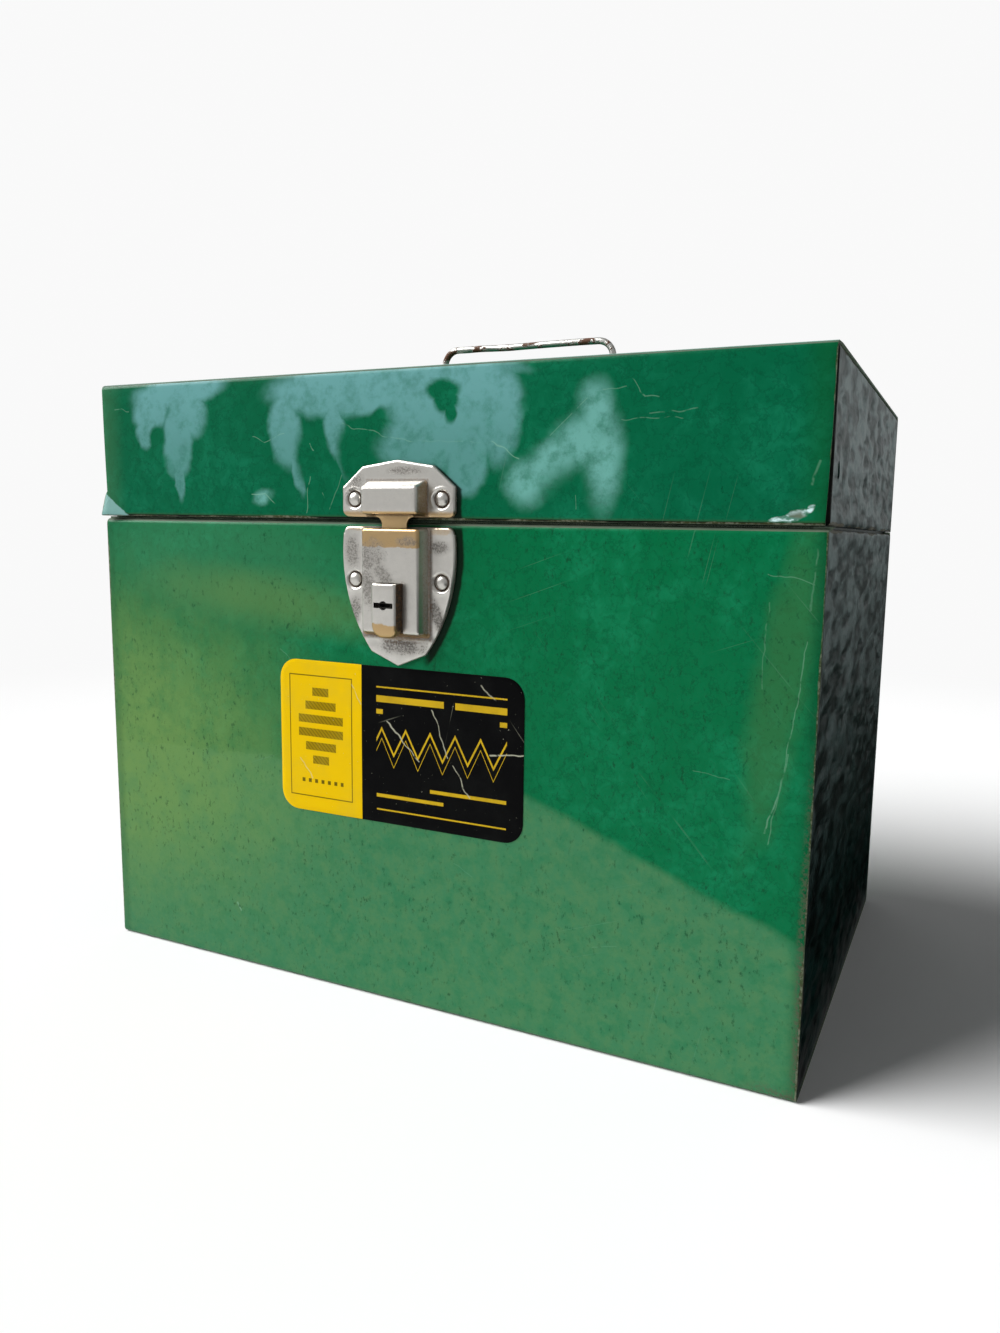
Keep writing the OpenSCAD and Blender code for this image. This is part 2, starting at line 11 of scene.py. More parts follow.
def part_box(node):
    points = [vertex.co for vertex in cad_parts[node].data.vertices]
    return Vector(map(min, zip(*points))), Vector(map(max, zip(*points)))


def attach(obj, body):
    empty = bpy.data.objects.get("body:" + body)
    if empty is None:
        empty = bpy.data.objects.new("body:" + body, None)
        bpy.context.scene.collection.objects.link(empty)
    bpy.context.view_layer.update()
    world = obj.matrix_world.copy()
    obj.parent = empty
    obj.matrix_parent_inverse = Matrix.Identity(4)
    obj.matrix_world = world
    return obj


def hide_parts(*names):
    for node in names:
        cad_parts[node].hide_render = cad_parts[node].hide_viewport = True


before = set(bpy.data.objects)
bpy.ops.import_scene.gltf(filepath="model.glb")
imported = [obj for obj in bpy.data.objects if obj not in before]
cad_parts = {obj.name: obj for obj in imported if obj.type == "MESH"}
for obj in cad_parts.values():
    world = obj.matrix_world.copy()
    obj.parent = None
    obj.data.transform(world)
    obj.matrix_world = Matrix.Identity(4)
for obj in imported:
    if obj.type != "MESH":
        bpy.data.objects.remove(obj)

bl_info = {
    "name": "Deed box",
    "version": (1, 0, 0),
    "blender": (4, 5, 0),
    "location": "View3D > Sidebar > Deed box",
    "description": "Builds the enamelled sheets, the nickel lock, the wire bail and the label of a deed box",
    "category": "Add Mesh",
}

MM = 0.001

# Measures taken from the frame, in metres
BODY_LO, BODY_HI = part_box("body_wrapper")
LID_LO, LID_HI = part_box("lid_wrapper")
RIM_LO, RIM_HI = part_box("mouth_rim")
SHIELD_LO, SHIELD_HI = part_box("latch_plate")
STRIKE_LO, STRIKE_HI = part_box("strike_plate")
CASE_LO, CASE_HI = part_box("latch_case")
HOUSING_LO, HOUSING_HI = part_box("strike_housing")
THUMB_LO, THUMB_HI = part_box("thumb_slide")
LABEL_LO, LABEL_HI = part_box("label")
BAIL_LO, BAIL_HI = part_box("bail_handle")
HALF_W = BODY_HI.x
FRONT = BODY_LO.y
BACK = BODY_HI.y
BODY_TOP = BODY_HI.z
LID_BOTTOM = LID_LO.z
TOP = LID_HI.z
LOCK_X = (SHIELD_LO.x + SHIELD_HI.x) / 2
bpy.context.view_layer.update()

# Measures of the lock: the lower plate's half width and the radius of its sides, its rivets and its sheet
SHIELD_HALF = 25.2 * MM
SHIELD_ROUND = 62 * MM
SHIELD_WIDEST_Z = SHIELD_HI.z - 10 * MM
RIVET_GAP = 19.3 * MM
LATCH_RIVET_Z = SHIELD_HI.z - 20.4 * MM
STRIKE_RIVET_Z = STRIKE_LO.z + 6.8 * MM
HOUSING_HALF = 13.4 * MM
PRESSED_SHEET = 0.7 * MM


# Settings

def colour(name, description, default):
    return FloatVectorProperty(name=name, description=description, subtype="COLOR", size=3, min=0, max=1,
                               default=default)


def length(name, description, default, low, high):
    """A length, all three values in millimetres"""
    return FloatProperty(name=name, description=description, unit="LENGTH", default=default * MM,
                         min=low * MM, max=high * MM)


class BoxSettings(bpy.types.PropertyGroup):
    """Sizes and colours of the enamelled sheets"""
    green: colour("Green", "Main green of the enamel", (0.0006, 0.119, 0.041))
    lid_green: colour("Lid green", "Deeper green of the lid", (0.0005, 0.098, 0.041))
    # Colour of the painted reflection of the sky on the lid's front
    reflected_sky: colour("Haze", "Blue-grey bloom on the lid's enamel", (0.13, 0.33, 0.33))
    # Chalky green at the foot of the front, partly faded paint and partly a painted reflection
    faded_and_reflected: colour("Faded green", "Chalky green at the foot of the front", (0.046, 0.185, 0.084))
    sheet: length("Sheet", "Thickness of the steel sheet", 0.8, 0.4, 1.2)
    fold: length("Fold radius", "Outer radius of the long folds", 2.2, 1.2, 4)
    ripple: length("Ripple", "Depth of the ripples in the end panels", 0.90, 0, 1.2)
    wear: FloatProperty(name="Wear", description="How far the paint is rubbed from the edges",
                        default=1.0, min=0, max=2)


class LockSettings(bpy.types.PropertyGroup):
    """Colours and sizes of the lock"""
    nickel: colour("Nickel", "Satin nickel plate", (0.60, 0.585, 0.545))
    brass: colour("Brass", "Brass that shows where the nickel has worn", (0.50, 0.34, 0.16))
    round_edge: length("Pressed edge", "Radius of the pressed edges of the plates", 0.9, 0.3, 1.5)


class BailSettings(bpy.types.PropertyGroup):
    """Colours of the wire bail"""
    plating: colour("Plating", "Bright plating of the wire", (0.54, 0.54, 0.51))
    rust: colour("Rust", "Rust where the plating has failed", (0.11, 0.045, 0.020))


class LabelSettings(bpy.types.PropertyGroup):
    """Colours of the label"""
    yellow: colour("Yellow", "Yellow of the label", (0.72, 0.46, 0.0005))
    black: colour("Black", "Black of the label", (0.0012, 0.0013, 0.0015))


class StageSettings(bpy.types.PropertyGroup):
    """Floor, light and camera"""
    floor: colour("Floor", "Colour of the floor and the backdrop", (0.90, 0.90, 0.90))
    key: FloatProperty(name="Key light", description="Strength of the broad soft light from the left",
                       default=4.95, min=0)
    world: FloatProperty(name="Surroundings", description="Strength of the pale surroundings as a light",
                         default=0.12, min=0, max=2)
    mirror: FloatProperty(name="Reflections", description="Strength of the surroundings in reflections",
                          default=0.45, min=0, max=2)


SETTINGS = {"deed_box": BoxSettings, "deed_lock": LockSettings, "deed_bail": BailSettings,
            "deed_label": LabelSettings, "deed_stage": StageSettings}


def option(group):
    return getattr(bpy.context.scene, group)


# Shader nodes

class Tree:
    """Adds nodes to a node tree and gives back their output sockets"""

    def __init__(self, tree):
        self.tree = tree

    def add(self, kind, *values, out=0, **facts):
        made = self.tree.nodes.new(kind)
        for key, value in facts.items():
            setattr(made, key, value)
        for place, value in enumerate(values):
            if value is not None:
                self.feed(made.inputs[place], value)
        return made.outputs[out]

    def feed(self, socket, value):
        if isinstance(value, bpy.types.NodeSocket):
            self.tree.links.new(value, socket)
        elif socket.type == "RGBA" and len(value) == 3:
            socket.default_value = (*value, 1)
        else:
            socket.default_value = value

    def math(self, operation, *values, clamp=False):
        return self.add("ShaderNodeMath", *values, operation=operation, use_clamp=clamp)

    def plus(self, a, *others):
        for b in others:
            a = self.math("ADD", a, b)
        return a

    def minus(self, a, b):
        return self.math("SUBTRACT", a, b)

    def times(self, a, *others):
        for b in others:
            a = self.math("MULTIPLY", a, b)
        return a

    def least(self, a, b):
        return self.math("MINIMUM", a, b)

    def most(self, a, *others):
        for b in others:
            a = self.math("MAXIMUM", a, b)
        return a

    def size(self, value):
        return self.math("ABSOLUTE", value)

    def far(self, a, b):
        """Length of the flat vector (a, b)"""
        return self.math("SQRT", self.plus(self.times(a, a), self.times(b, b)))

    def middle(self, value, reach):
        """A noise value moved to lie about zero and scaled"""
        return self.times(self.minus(value, 0.5), reach)

    def step(self, value, low, high, to_low=0.0, to_high=1.0):
        return self.add("ShaderNodeMapRange", value, low, high, to_low, to_high,
                        interpolation_type="SMOOTHSTEP")

    def noise(self, where, scale, detail=3.0, rough=0.55, out=0, **facts):
        made = self.tree.nodes.new("ShaderNodeTexNoise")
        self.feed(made.inputs["Vector"], where)
        self.feed(made.inputs["Scale"], scale)
        made.inputs["Detail"].default_value = detail
        made.inputs["Roughness"].default_value = rough
        for key, value in facts.items():
            made.inputs[key].default_value = value
        return made.outputs[out]

    def stretch(self, where, scale=(1, 1, 1), turn=(0, 0, 0), move=(0, 0, 0)):
        return self.add("ShaderNodeMapping", where, move, turn, scale)

    def split(self, where):
        made = self.tree.nodes.new("ShaderNodeSeparateXYZ")
        self.feed(made.inputs[0], where)
        return tuple(made.outputs)

    def mix(self, mask, a, b):
        made = self.tree.nodes.new("ShaderNodeMix")
        made.data_type = "RGBA"
        for place, value in ((0, mask), (6, a), (7, b)):
            self.feed(made.inputs[place], value)
        return made.outputs[2]

    def coat(self, paint, colour, amount, *masks):
        """Paint with a colour laid over it where all the masks are, by amount"""
        return self.mix(self.times(*masks, amount), paint, colour)

    def blend(self, mask, a, b):
        made = self.tree.nodes.new("ShaderNodeMix")
        for place, value in ((0, mask), (2, a), (3, b)):
            self.feed(made.inputs[place], value)
        return made.outputs[0]

    def group(self, name, out=0, **values):
        made = self.tree.nodes.new("ShaderNodeGroup")
        made.node_tree = bpy.data.node_groups[name]
        for key, value in values.items():
            self.feed(made.inputs[key.replace("_", " ").capitalize()], value)
        return made.outputs[out] if out is not None else made.outputs


def effect(name, inputs, outputs, wire):
    """A shader node group; wire gets the tree and the inputs by name, and gives the outputs in order"""
    tree = bpy.data.node_groups.new(name, "ShaderNodeTree")
    for label, kind, value in inputs:
        socket = tree.interface.new_socket(label, in_out="INPUT", socket_type="NodeSocket" + kind)
        socket.default_value = value
    for label, kind in outputs:
        tree.interface.new_socket(label, in_out="OUTPUT", socket_type="NodeSocket" + kind)
    start = tree.nodes.new("NodeGroupInput")
    end = tree.nodes.new("NodeGroupOutput")
    t = Tree(tree)
    results = wire(t, {s.name: s for s in start.outputs if s.name})
    for place, value in enumerate(results):
        t.feed(end.inputs[place], value)


def edge_wear(t, s):
    """How near a point is to the nearest edge of a box, broken up by noise"""
    here = t.add("ShaderNodeVectorMath", s["Position"], s["Centre"], operation="SUBTRACT")
    x, y, z = t.split(t.add("ShaderNodeVectorMath", here, operation="ABSOLUTE"))
    hx, hy, hz = t.split(s["Half size"])
    a, b, c = t.minus(hx, x), t.minus(hy, y), t.minus(hz, z)
    near = t.most(t.least(a, b), t.least(t.most(a, b), c))
    rough = t.noise(s["Position"], 260, 4, 0.7)
    long = t.noise(s["Position"], 38, 3, 0.6)
    reach = t.times(s["Width"], t.plus(t.times(t.step(long, 0.35, 0.75), 1.6), t.times(rough, 0.9)))
    mask = t.step(t.minus(reach, near), 0.0, 0.00035)
    return [t.times(mask, s["Amount"]), near]


def mottle(t, s):
    """Cloudy enamel: broad clouds, feathery blotches and fine dark specks"""
    clouds = t.noise(s["Position"], 26, 4, 0.6)
    blotch = t.noise(s["Position"], 150, 6, 0.68, Distortion=0.6)
    specks = t.noise(s["Position"], 620, 3, 0.6)
    light = t.plus(t.times(t.step(blotch, 0.40, 0.68),
                           t.plus(0.25, t.times(t.step(clouds, 0.40, 0.62), 0.65))),
                   t.times(t.step(clouds, 0.45, 0.7), 0.30))
    dark = t.step(specks, 0.62, 0.74)
    colour = t.mix(t.times(light, s["Amount"]), s["Colour"], s["Light"])
    colour = t.mix(t.times(t.times(dark, 0.6), s["Amount"]), colour, s["Dark"])
    return [colour, light]


def scuffs(t, s):
    """Fine broken scratches in several directions"""
    total = None
    for place, (turn, size,
                cut) in enumerate(((0.35, 5, 0.735), (-0.9, 4, 0.745), (1.35, 6, 0.74), (2.3, 4, 0.75))):
        flat = t.stretch(s["Position"], (1, 1, 1), (0, turn, 0), (0.37 * place, 0.11, 0.73 * place))
        thin = t.noise(t.stretch(flat, (size, 40, 1100)), 1.0, 1, 0.4)
        gate = t.step(t.noise(flat, 19 + 5 * place, 2, 0.5), 0.58, 0.70)
        line = t.times(t.step(thin, cut, cut + 0.03), gate)
        total = line if total is None else t.most(total, line)
    return [t.times(total, s["Amount"])]


def scratch(t, s):
    """One wandering scratch between two points on the front, as across and up in metres"""
    x, y, z = t.split(s["Position"])
    wander = t.times(t.minus(t.noise(s["Position"], 110, 2, 0.5), 0.5), 0.0035)
    ax, az, _ = t.split(s["From"])
    bx, bz, _ = t.split(s["To"])
    px, pz = t.minus(t.plus(x, wander), ax), t.minus(t.plus(z, wander), az)
    dx, dz = t.minus(bx, ax), t.minus(bz, az)
    along = t.math("DIVIDE", t.plus(t.times(px, dx), t.times(pz, dz)),
                   t.plus(t.times(dx, dx), t.times(dz, dz)), clamp=True)
    qx, qz = t.minus(px, t.times(along, dx)), t.minus(pz, t.times(along, dz))
    away = t.math("SQRT", t.plus(t.times(qx, qx), t.times(qz, qz)))
    broken = t.step(t.noise(s["Position"], 300, 2, 0.5), 0.32, 0.50)
    return [t.times(t.times(t.step(away, t.times(s["Width"], 0.8), 0.0), broken), s["Amount"])]


def patch(t, s):
    """A soft-edged blob on the front, turned by an angle and torn by noise"""
    x, y, z = t.split(s["Position"])
    cx, cz, turn = t.split(s["Place"])
    wx, wz, _ = t.split(s["Half size"])
    tear = t.times(t.minus(t.noise(s["Position"], s["Grain"], 4, 0.6), 0.5), s["Tear"])
    px, pz = t.minus(x, cx), t.minus(z, cz)
    c, n = t.math("COSINE", turn), t.math("SINE", turn)
    u = t.math("DIVIDE", t.plus(t.times(px, c), t.times(pz, n)), wx)
    v = t.math("DIVIDE", t.minus(t.times(pz, c), t.times(px, n)), wz)
    r = t.plus(t.math("SQRT", t.plus(t.times(u, u), t.times(v, v))), tear)
    return [t.step(r, t.plus(1.0, s["Soft"]), t.minus(1.0, s["Soft"]))]


def plating(t, s):
    """Satin plate: soft clouding, dark smudges of fine pits, dirt and painted shade in the corners and on shaded
    walls, and brass where it has worn
    """
    cloud = t.noise(s["Position"], 240, 4, 0.6)
    grain = t.noise(s["Position"], 1300, 6, 0.85)
    low = t.minus(0.64, t.times(s["Smudge"], 0.22))
    pits = t.step(grain, low, t.plus(low, 0.13))
    colour = t.mix(t.times(t.step(cloud, 0.35, 0.7), 0.35), s["Colour"], s["Shade"])
    worn = t.step(t.plus(s["Worn"], t.times(t.minus(grain, 0.5), 0.45)), 0.30, 0.70)
    colour = t.mix(worn, colour, s["Brass"])
    colour = t.mix(t.times(s["Smudge"], 0.50), colour, (0.22, 0.205, 0.185))
    colour = t.mix(t.times(pits, 0.75), colour, (0.075, 0.068, 0.06))
    # The dirt mask also carries painted shade
    dirt = t.step(t.plus(s["Dirt"], t.times(t.minus(grain, 0.5), 0.55)), 0.32, 0.85)
    colour = t.mix(dirt, colour, t.mix(t.step(grain, 0.45, 0.6), (0.020, 0.013, 0.008), (0.13, 0.062, 0.024)))
    rough = t.plus(t.plus(0.25, t.times(cloud, 0.12)), t.plus(t.times(pits, 0.22), t.times(dirt, 0.4)))
    height = t.minus(t.times(cloud, 0.25), t.times(pits, 0.35))
    metal = t.minus(1.0, t.plus(t.times(dirt, 0.75), t.times(pits, 0.2)))
    return [colour, rough, height, metal]


def rusted(t, s):
    """Where rust has broken through: blotches with a grainy edge"""
    broad = t.noise(s["Position"], s["Size"], 4, 0.65)
    fine = t.noise(s["Position"], 1400, 3, 0.7)
    mask = t.step(t.plus(broad, t.times(t.minus(fine, 0.5), 0.22)), s["Cut"], t.plus(s["Cut"], 0.05))
    return [mask, fine]


def make_effects():
    point = ("Position", "Vector", (0, 0, 0))
    effect("Edge wear", [point, ("Centre", "Vector", (0, 0, 0)), ("Half size", "Vector", (1, 1, 1)),
                         ("Width", "Float", 0.001), ("Amount", "Float", 1.0)],
           [("Mask", "Float"), ("Nearness", "Float")], edge_wear)
    effect("Enamel mottle", [point, ("Colour", "Color", (0, 1, 0, 1)), ("Light", "Color", (0, 1, 0, 1)),
                             ("Dark", "Color", (0, 0, 0, 1)), ("Amount", "Float", 1.0)],
           [("Colour", "Color"), ("Lightness", "Float")], mottle)
    effect("Scuffs", [point, ("Amount", "Float", 1.0)], [("Mask", "Float")], scuffs)
    effect("Scratch", [point, ("From", "Vector", (0, 0, 0)), ("To", "Vector", (0, 0, 0)),
                       ("Width", "Float", 0.0005), ("Amount", "Float", 1.0)], [("Mask", "Float")], scratch)
    effect("Patch", [point, ("Place", "Vector", (0, 0, 0)), ("Half size", "Vector", (1, 1, 1)),
                     ("Soft", "Float", 0.2), ("Tear", "Float", 0.5), ("Grain", "Float", 90.0)],
           [("Mask", "Float")], patch)
    # Its Dirt input carries dirt and painted shade
    effect("Worn plating", [point, ("Colour", "Color", (1, 1, 1, 1)), ("Shade", "Color", (1, 1, 1, 1)),
                            ("Brass", "Color", (1, 1, 1, 1)), ("Smudge", "Float", 0.0), ("Worn", "Float", 0.0),
                            ("Dirt", "Float", 0.0)],
           [("Colour", "Color"), ("Roughness", "Float"), ("Height", "Float"), ("Metal", "Float")], plating)
    effect("Rust", [point, ("Size", "Float", 150.0), ("Cut", "Float", 0.6)],
           [("Mask", "Float"), ("Grain", "Float")], rusted)


def material(name):
    """A new material: itself, its tree, its shader and the object's own coordinates"""
    made = bpy.data.materials.new(name)
    made.use_nodes = True
    t = Tree(made.node_tree)
    return made, t, made.node_tree.nodes["Principled BSDF"], t.add("ShaderNodeTexCoord", out=3)


def bump(t, shader, height, distance, strength):
    made = t.tree.nodes.new("ShaderNodeBump")
    made.inputs["Strength"].default_value = strength
    made.inputs["Distance"].default_value = distance
    t.feed(made.inputs["Height"], height)
    t.feed(shader.inputs["Normal"], made.outputs[0])


def mm(*values):
    return tuple(v * MM for v in values)


def tinted(colour, *shares):
    """A colour with its parts multiplied by one share or by three"""
    return tuple(c * k for c, k in zip(colour, shares * 3 if len(shares) == 1 else shares))


def below(t, value, edge, blur):
    return t.step(value, edge + blur, edge - blur)


def above(t, value, edge, blur):
    return t.step(value, edge - blur, edge + blur)


def on_front(t, y):
    return t.step(y, FRONT + 1.2 * MM, FRONT + 0.4 * MM)


# Painted reflection of the sky on the lid's front, blue-grey, and the green gaps in it: (across, up, turn), (half
# width, half height)
LID_REFLECTED_SKY = (
    ((-29, 241, 0), (33, 10)), ((18, 236, 0), (27, 15)), ((-55, 226, 0.08), (7.5, 14)),
    ((-50, 212, 0.22), (3.0, 10)), ((-31, 226, 0.30), (4.5, 10)), ((-27.5, 216, 0.30), (2.2, 8)),
    ((9, 221, 0), (21, 11)), ((27, 214, -0.45), (9, 12)), ((39, 231, 0), (9, 17)),
    ((-112, 244, 0.10), (26, 7)), ((-128, 237, 0), (10, 9)), ((-131, 228, 0.2), (5, 6)),
    ((-113, 224, 0.12), (7.5, 15)), ((-111, 208, 0.12), (3.2, 9)), ((-107, 236, -0.5), (11, 9)),
    ((0, 246, 0), (46, 4)),
)
LID_SKY_GAPS = (
    ((-43, 216, 0), (7.5, 10.5)), ((-22, 218, 0.05), (7.5, 12.5)), ((-13, 229, -0.6), (3.5, 6)),
    ((17, 240, 0), (7.5, 4.0)), ((18.5, 236, 0), (5.0, 5.0)), ((20, 231.5, 0.1), (2.2, 4.5)),
    ((-124, 226, 0.5), (3.6, 4.6)), ((-89, 230, -0.6), (10, 9)), ((-150, 239, 0), (11, 9)),
)
# Paler painted reflection on the lid's front, and a gap in it: (across, up, turn), (half width, half height)
LID_PALE_SHEEN = (
    ((76, 230, 0.1), (6, 9)), ((71, 220, 0.5), (11, 8)), ((61, 213, 0.6), (13, 7)),
    ((80, 214, 0), (6.5, 15)), ((51, 207, 0.4), (6.5, 7)), ((-66, 201, 0.3), (4.5, 3)),
)
LID_SHEEN_GAP = (((66, 202, 0), (9, 8)),)
# Painted highlights in the crease at the lid's lower right: (across, up, turn), (half width, half height)
LID_CREASE_HIGHLIGHT = (((145, 196, 0.35), (3.6, 1.5)), ((149.5, 198, 0.9), (1.6, 0.9)),
              ((140.5, 195, 0.15), (3.2, 0.8)))
BODY_RUB = (((152, 1.0, 0), (11, 3.0)), ((155, 40, 0), (1.6, 60)), ((60, 0, 0), (90, 0.9)))
# Scratches: from, to (across, up), width, strength
LID_SCRATCHES = (
    ((-28, 229), (3, 221.5), 0.35, 0.55), ((3, 221.5), (33, 221.4), 0.30, 0.35),
    ((37, 221), (48.4, 215), 0.40, 0.75), ((-72, 225), (-66, 222.8), 0.35, 0.7),
    ((-66, 222.8), (-56, 226), 0.35, 0.7), ((-43.3, 222), (-42, 219), 0.45, 0.8),
    ((-73.3, 202), (-66, 202.6), 0.40, 0.9), ((-66, 202.6), (-61, 199), 0.40, 0.9),
    ((-43.5, 209), (-45.6, 195), 0.40, 0.6), ((-37.6, 203), (-36.4, 201.2), 0.35, 0.6),
    ((88.7, 241), (94.3, 234.6), 0.40, 0.5), ((94.3, 234.6), (99, 234.2), 0.40, 0.5),
    ((79, 237), (87, 237.5), 0.35, 0.4), ((74.5, 235.6), (60, 222.7), 0.35, 0.45),
    ((69.8, 202), (69.7, 197), 0.35, 0.4), ((-28, 210), (-34, 197), 0.4, 0.4),
    ((-148, 238.2), (-143.6, 238.8), 0.40, 0.6), ((-143.6, 238.8), (-139.2, 237.7), 0.40, 0.5),
    ((86, 227), (108, 227.6), 0.35, 0.4), ((96, 229), (112, 230), 0.5, 0.4),
    ((152, 213), (149, 205), 0.8, 0.35),
)
BODY_SCRATCHES = (
    ((150.3, 156), (148.6, 132), 0.42, 0.45), ((148.6, 132), (144, 105), 0.40, 0.45),
    ((144, 105), (140, 92), 0.55, 0.6), ((138, 178), (152, 174.5), 0.35, 0.4),
    ((152.8, 186), (150.8, 166), 0.6, 0.28), ((-86, 27), (-84, 24), 0.8, 0.7),
    ((116, 111), (128, 109), 0.35, 0.3), ((22, 62), (30, 58), 0.35, 0.25), ((80, 40), (92, 43), 0.3, 0.25),
    ((-60, 140), (-52, 134), 0.35, 0.25), ((138, 168), (137, 140), 0.45, 0.25),
    ((147, 120), (141, 88), 0.4, 0.4),
)
# The bent lower left corner of the lid: a point on its crease and the crease's normal, across and up
BEND_AT = (-0.1405, 0.1930)
BEND_OUT = (-0.574, -0.819)


def bent(t, where, size, reach):
    """Positions pushed about by noise, so that plain shapes come out irregular"""
    push = t.add("ShaderNodeVectorMath", t.noise(where, size, 3, 0.55, out=1), (0.5, 0.5, 0.5),
                 operation="SUBTRACT")
    push = t.add("ShaderNodeVectorMath", push, (reach, 0.0, reach), operation="MULTIPLY")
    return t.add("ShaderNodeVectorMath", where, push, operation="ADD")


def blobs(t, where, spots, soft, tear, grain=90.0):
    """Patches given as (across, up, turn), (half width, half height), in millimetres and radians"""
    return t.most(*[t.group("Patch", position=where, place=mm(px, pz) + (turn,), half_size=mm(wx, wz) + (1,),
                            soft=soft, tear=tear, grain=grain) for (px, pz, turn), (wx, wz) in spots])


def drawn_lines(t, where, lines):
    """Scratches given as from, to, width and strength, in millimetres"""
    return t.most(*[t.group("Scratch", position=where, **{"from": mm(*a) + (0,), "to": mm(*b) + (0,)},
                            width=w * MM, amount=strength) for a, b, w, strength in lines])


def worn_edges(t, where, lo, hi, width):
    """Mask of the paint rubbed off along the edges of the box from lo to hi"""
    return t.group("Edge wear", position=where, centre=tuple((lo + hi) / 2), half_size=tuple((hi - lo) / 2),
                   width=width, amount=1.0)


def enamel(name, colour, lo, hi, inside, front_marks, wear_width=0.6 * MM):
    """Green enamel on a folded sheet from lo to hi, cloudy, rubbed at its edges and duller inside"""
    box = option("deed_box")
    made, t, shader, where = material(name)
    y, z = t.split(where)[1:]
    light = tuple(min(1, c * 1.18 + d) for c, d in zip(colour, (0.004, 0.034, 0.024)))
    dark = tinted(colour, 0.45)
    paint = t.group("Enamel mottle", position=where, colour=colour, light=light, dark=dark, amount=0.7)
    veins = t.step(t.size(t.minus(t.noise(where, 170, 4, 0.6), 0.5)), 0.034, 0.004)
    paint = t.coat(paint, dark, 0.30, veins)
    pits = t.times(t.step(t.noise(where, 1050, 2, 0.5), 0.70, 0.76),
                   t.step(t.noise(where, 34, 3, 0.6), 0.44, 0.60))
    paint = t.coat(paint, tinted(colour, 0.2), 0.6, pits)
    paint, rough_extra = front_marks(t, where, paint, box)
    # Brown primer and bare steel along the edges
    worn = worn_edges(t, where, lo, hi, wear_width * box.wear)
    primer = t.mix(t.step(t.noise(where, 700, 3, 0.6), 0.42, 0.62), (0.060, 0.062, 0.026), (0.20, 0.21, 0.15))
    paint = t.coat(paint, primer, 0.75, worn)
    scuff = t.group("Scuffs", position=where, amount=0.5)
    paint = t.coat(paint, (0.16, 0.34, 0.24), 0.22, scuff)
    # Inside faces: a dull grey-green wash coat
    skin, sheet = 0.35 * MM, 0.5 * MM
    inner = t.times(t.step(y, lo.y + skin, lo.y + sheet), t.step(y, hi.y - skin, hi.y - sheet), inside(t, z))
    wash = t.mix(t.step(t.noise(where, 60, 5, 0.65), 0.35, 0.7), (0.085, 0.120, 0.085), (0.120, 0.150, 0.105))
    t.feed(shader.inputs["Base Color"], t.mix(inner, paint, wash))
    rough = t.plus(0.20, t.times(t.noise(where, 90, 4, 0.6), 0.10), t.times(worn, 0.3), rough_extra)
    t.feed(shader.inputs["Roughness"], t.plus(rough, t.times(inner, 0.22)))
    t.feed(shader.inputs["Metallic"], t.times(worn, 0.3, t.minus(1.0, inner)))
    shader.inputs["Specular IOR Level"].default_value = 0.06
    height = t.plus(t.times(t.noise(where, 420, 3, 0.6), 0.10), t.times(t.noise(where, 45, 3, 0.5), 0.6))
    height = t.minus(t.minus(height, t.times(worn, 0.25)), t.times(scuff, 0.25))
    bump(t, shader, height, 0.28 * MM, 0.55)
    return made


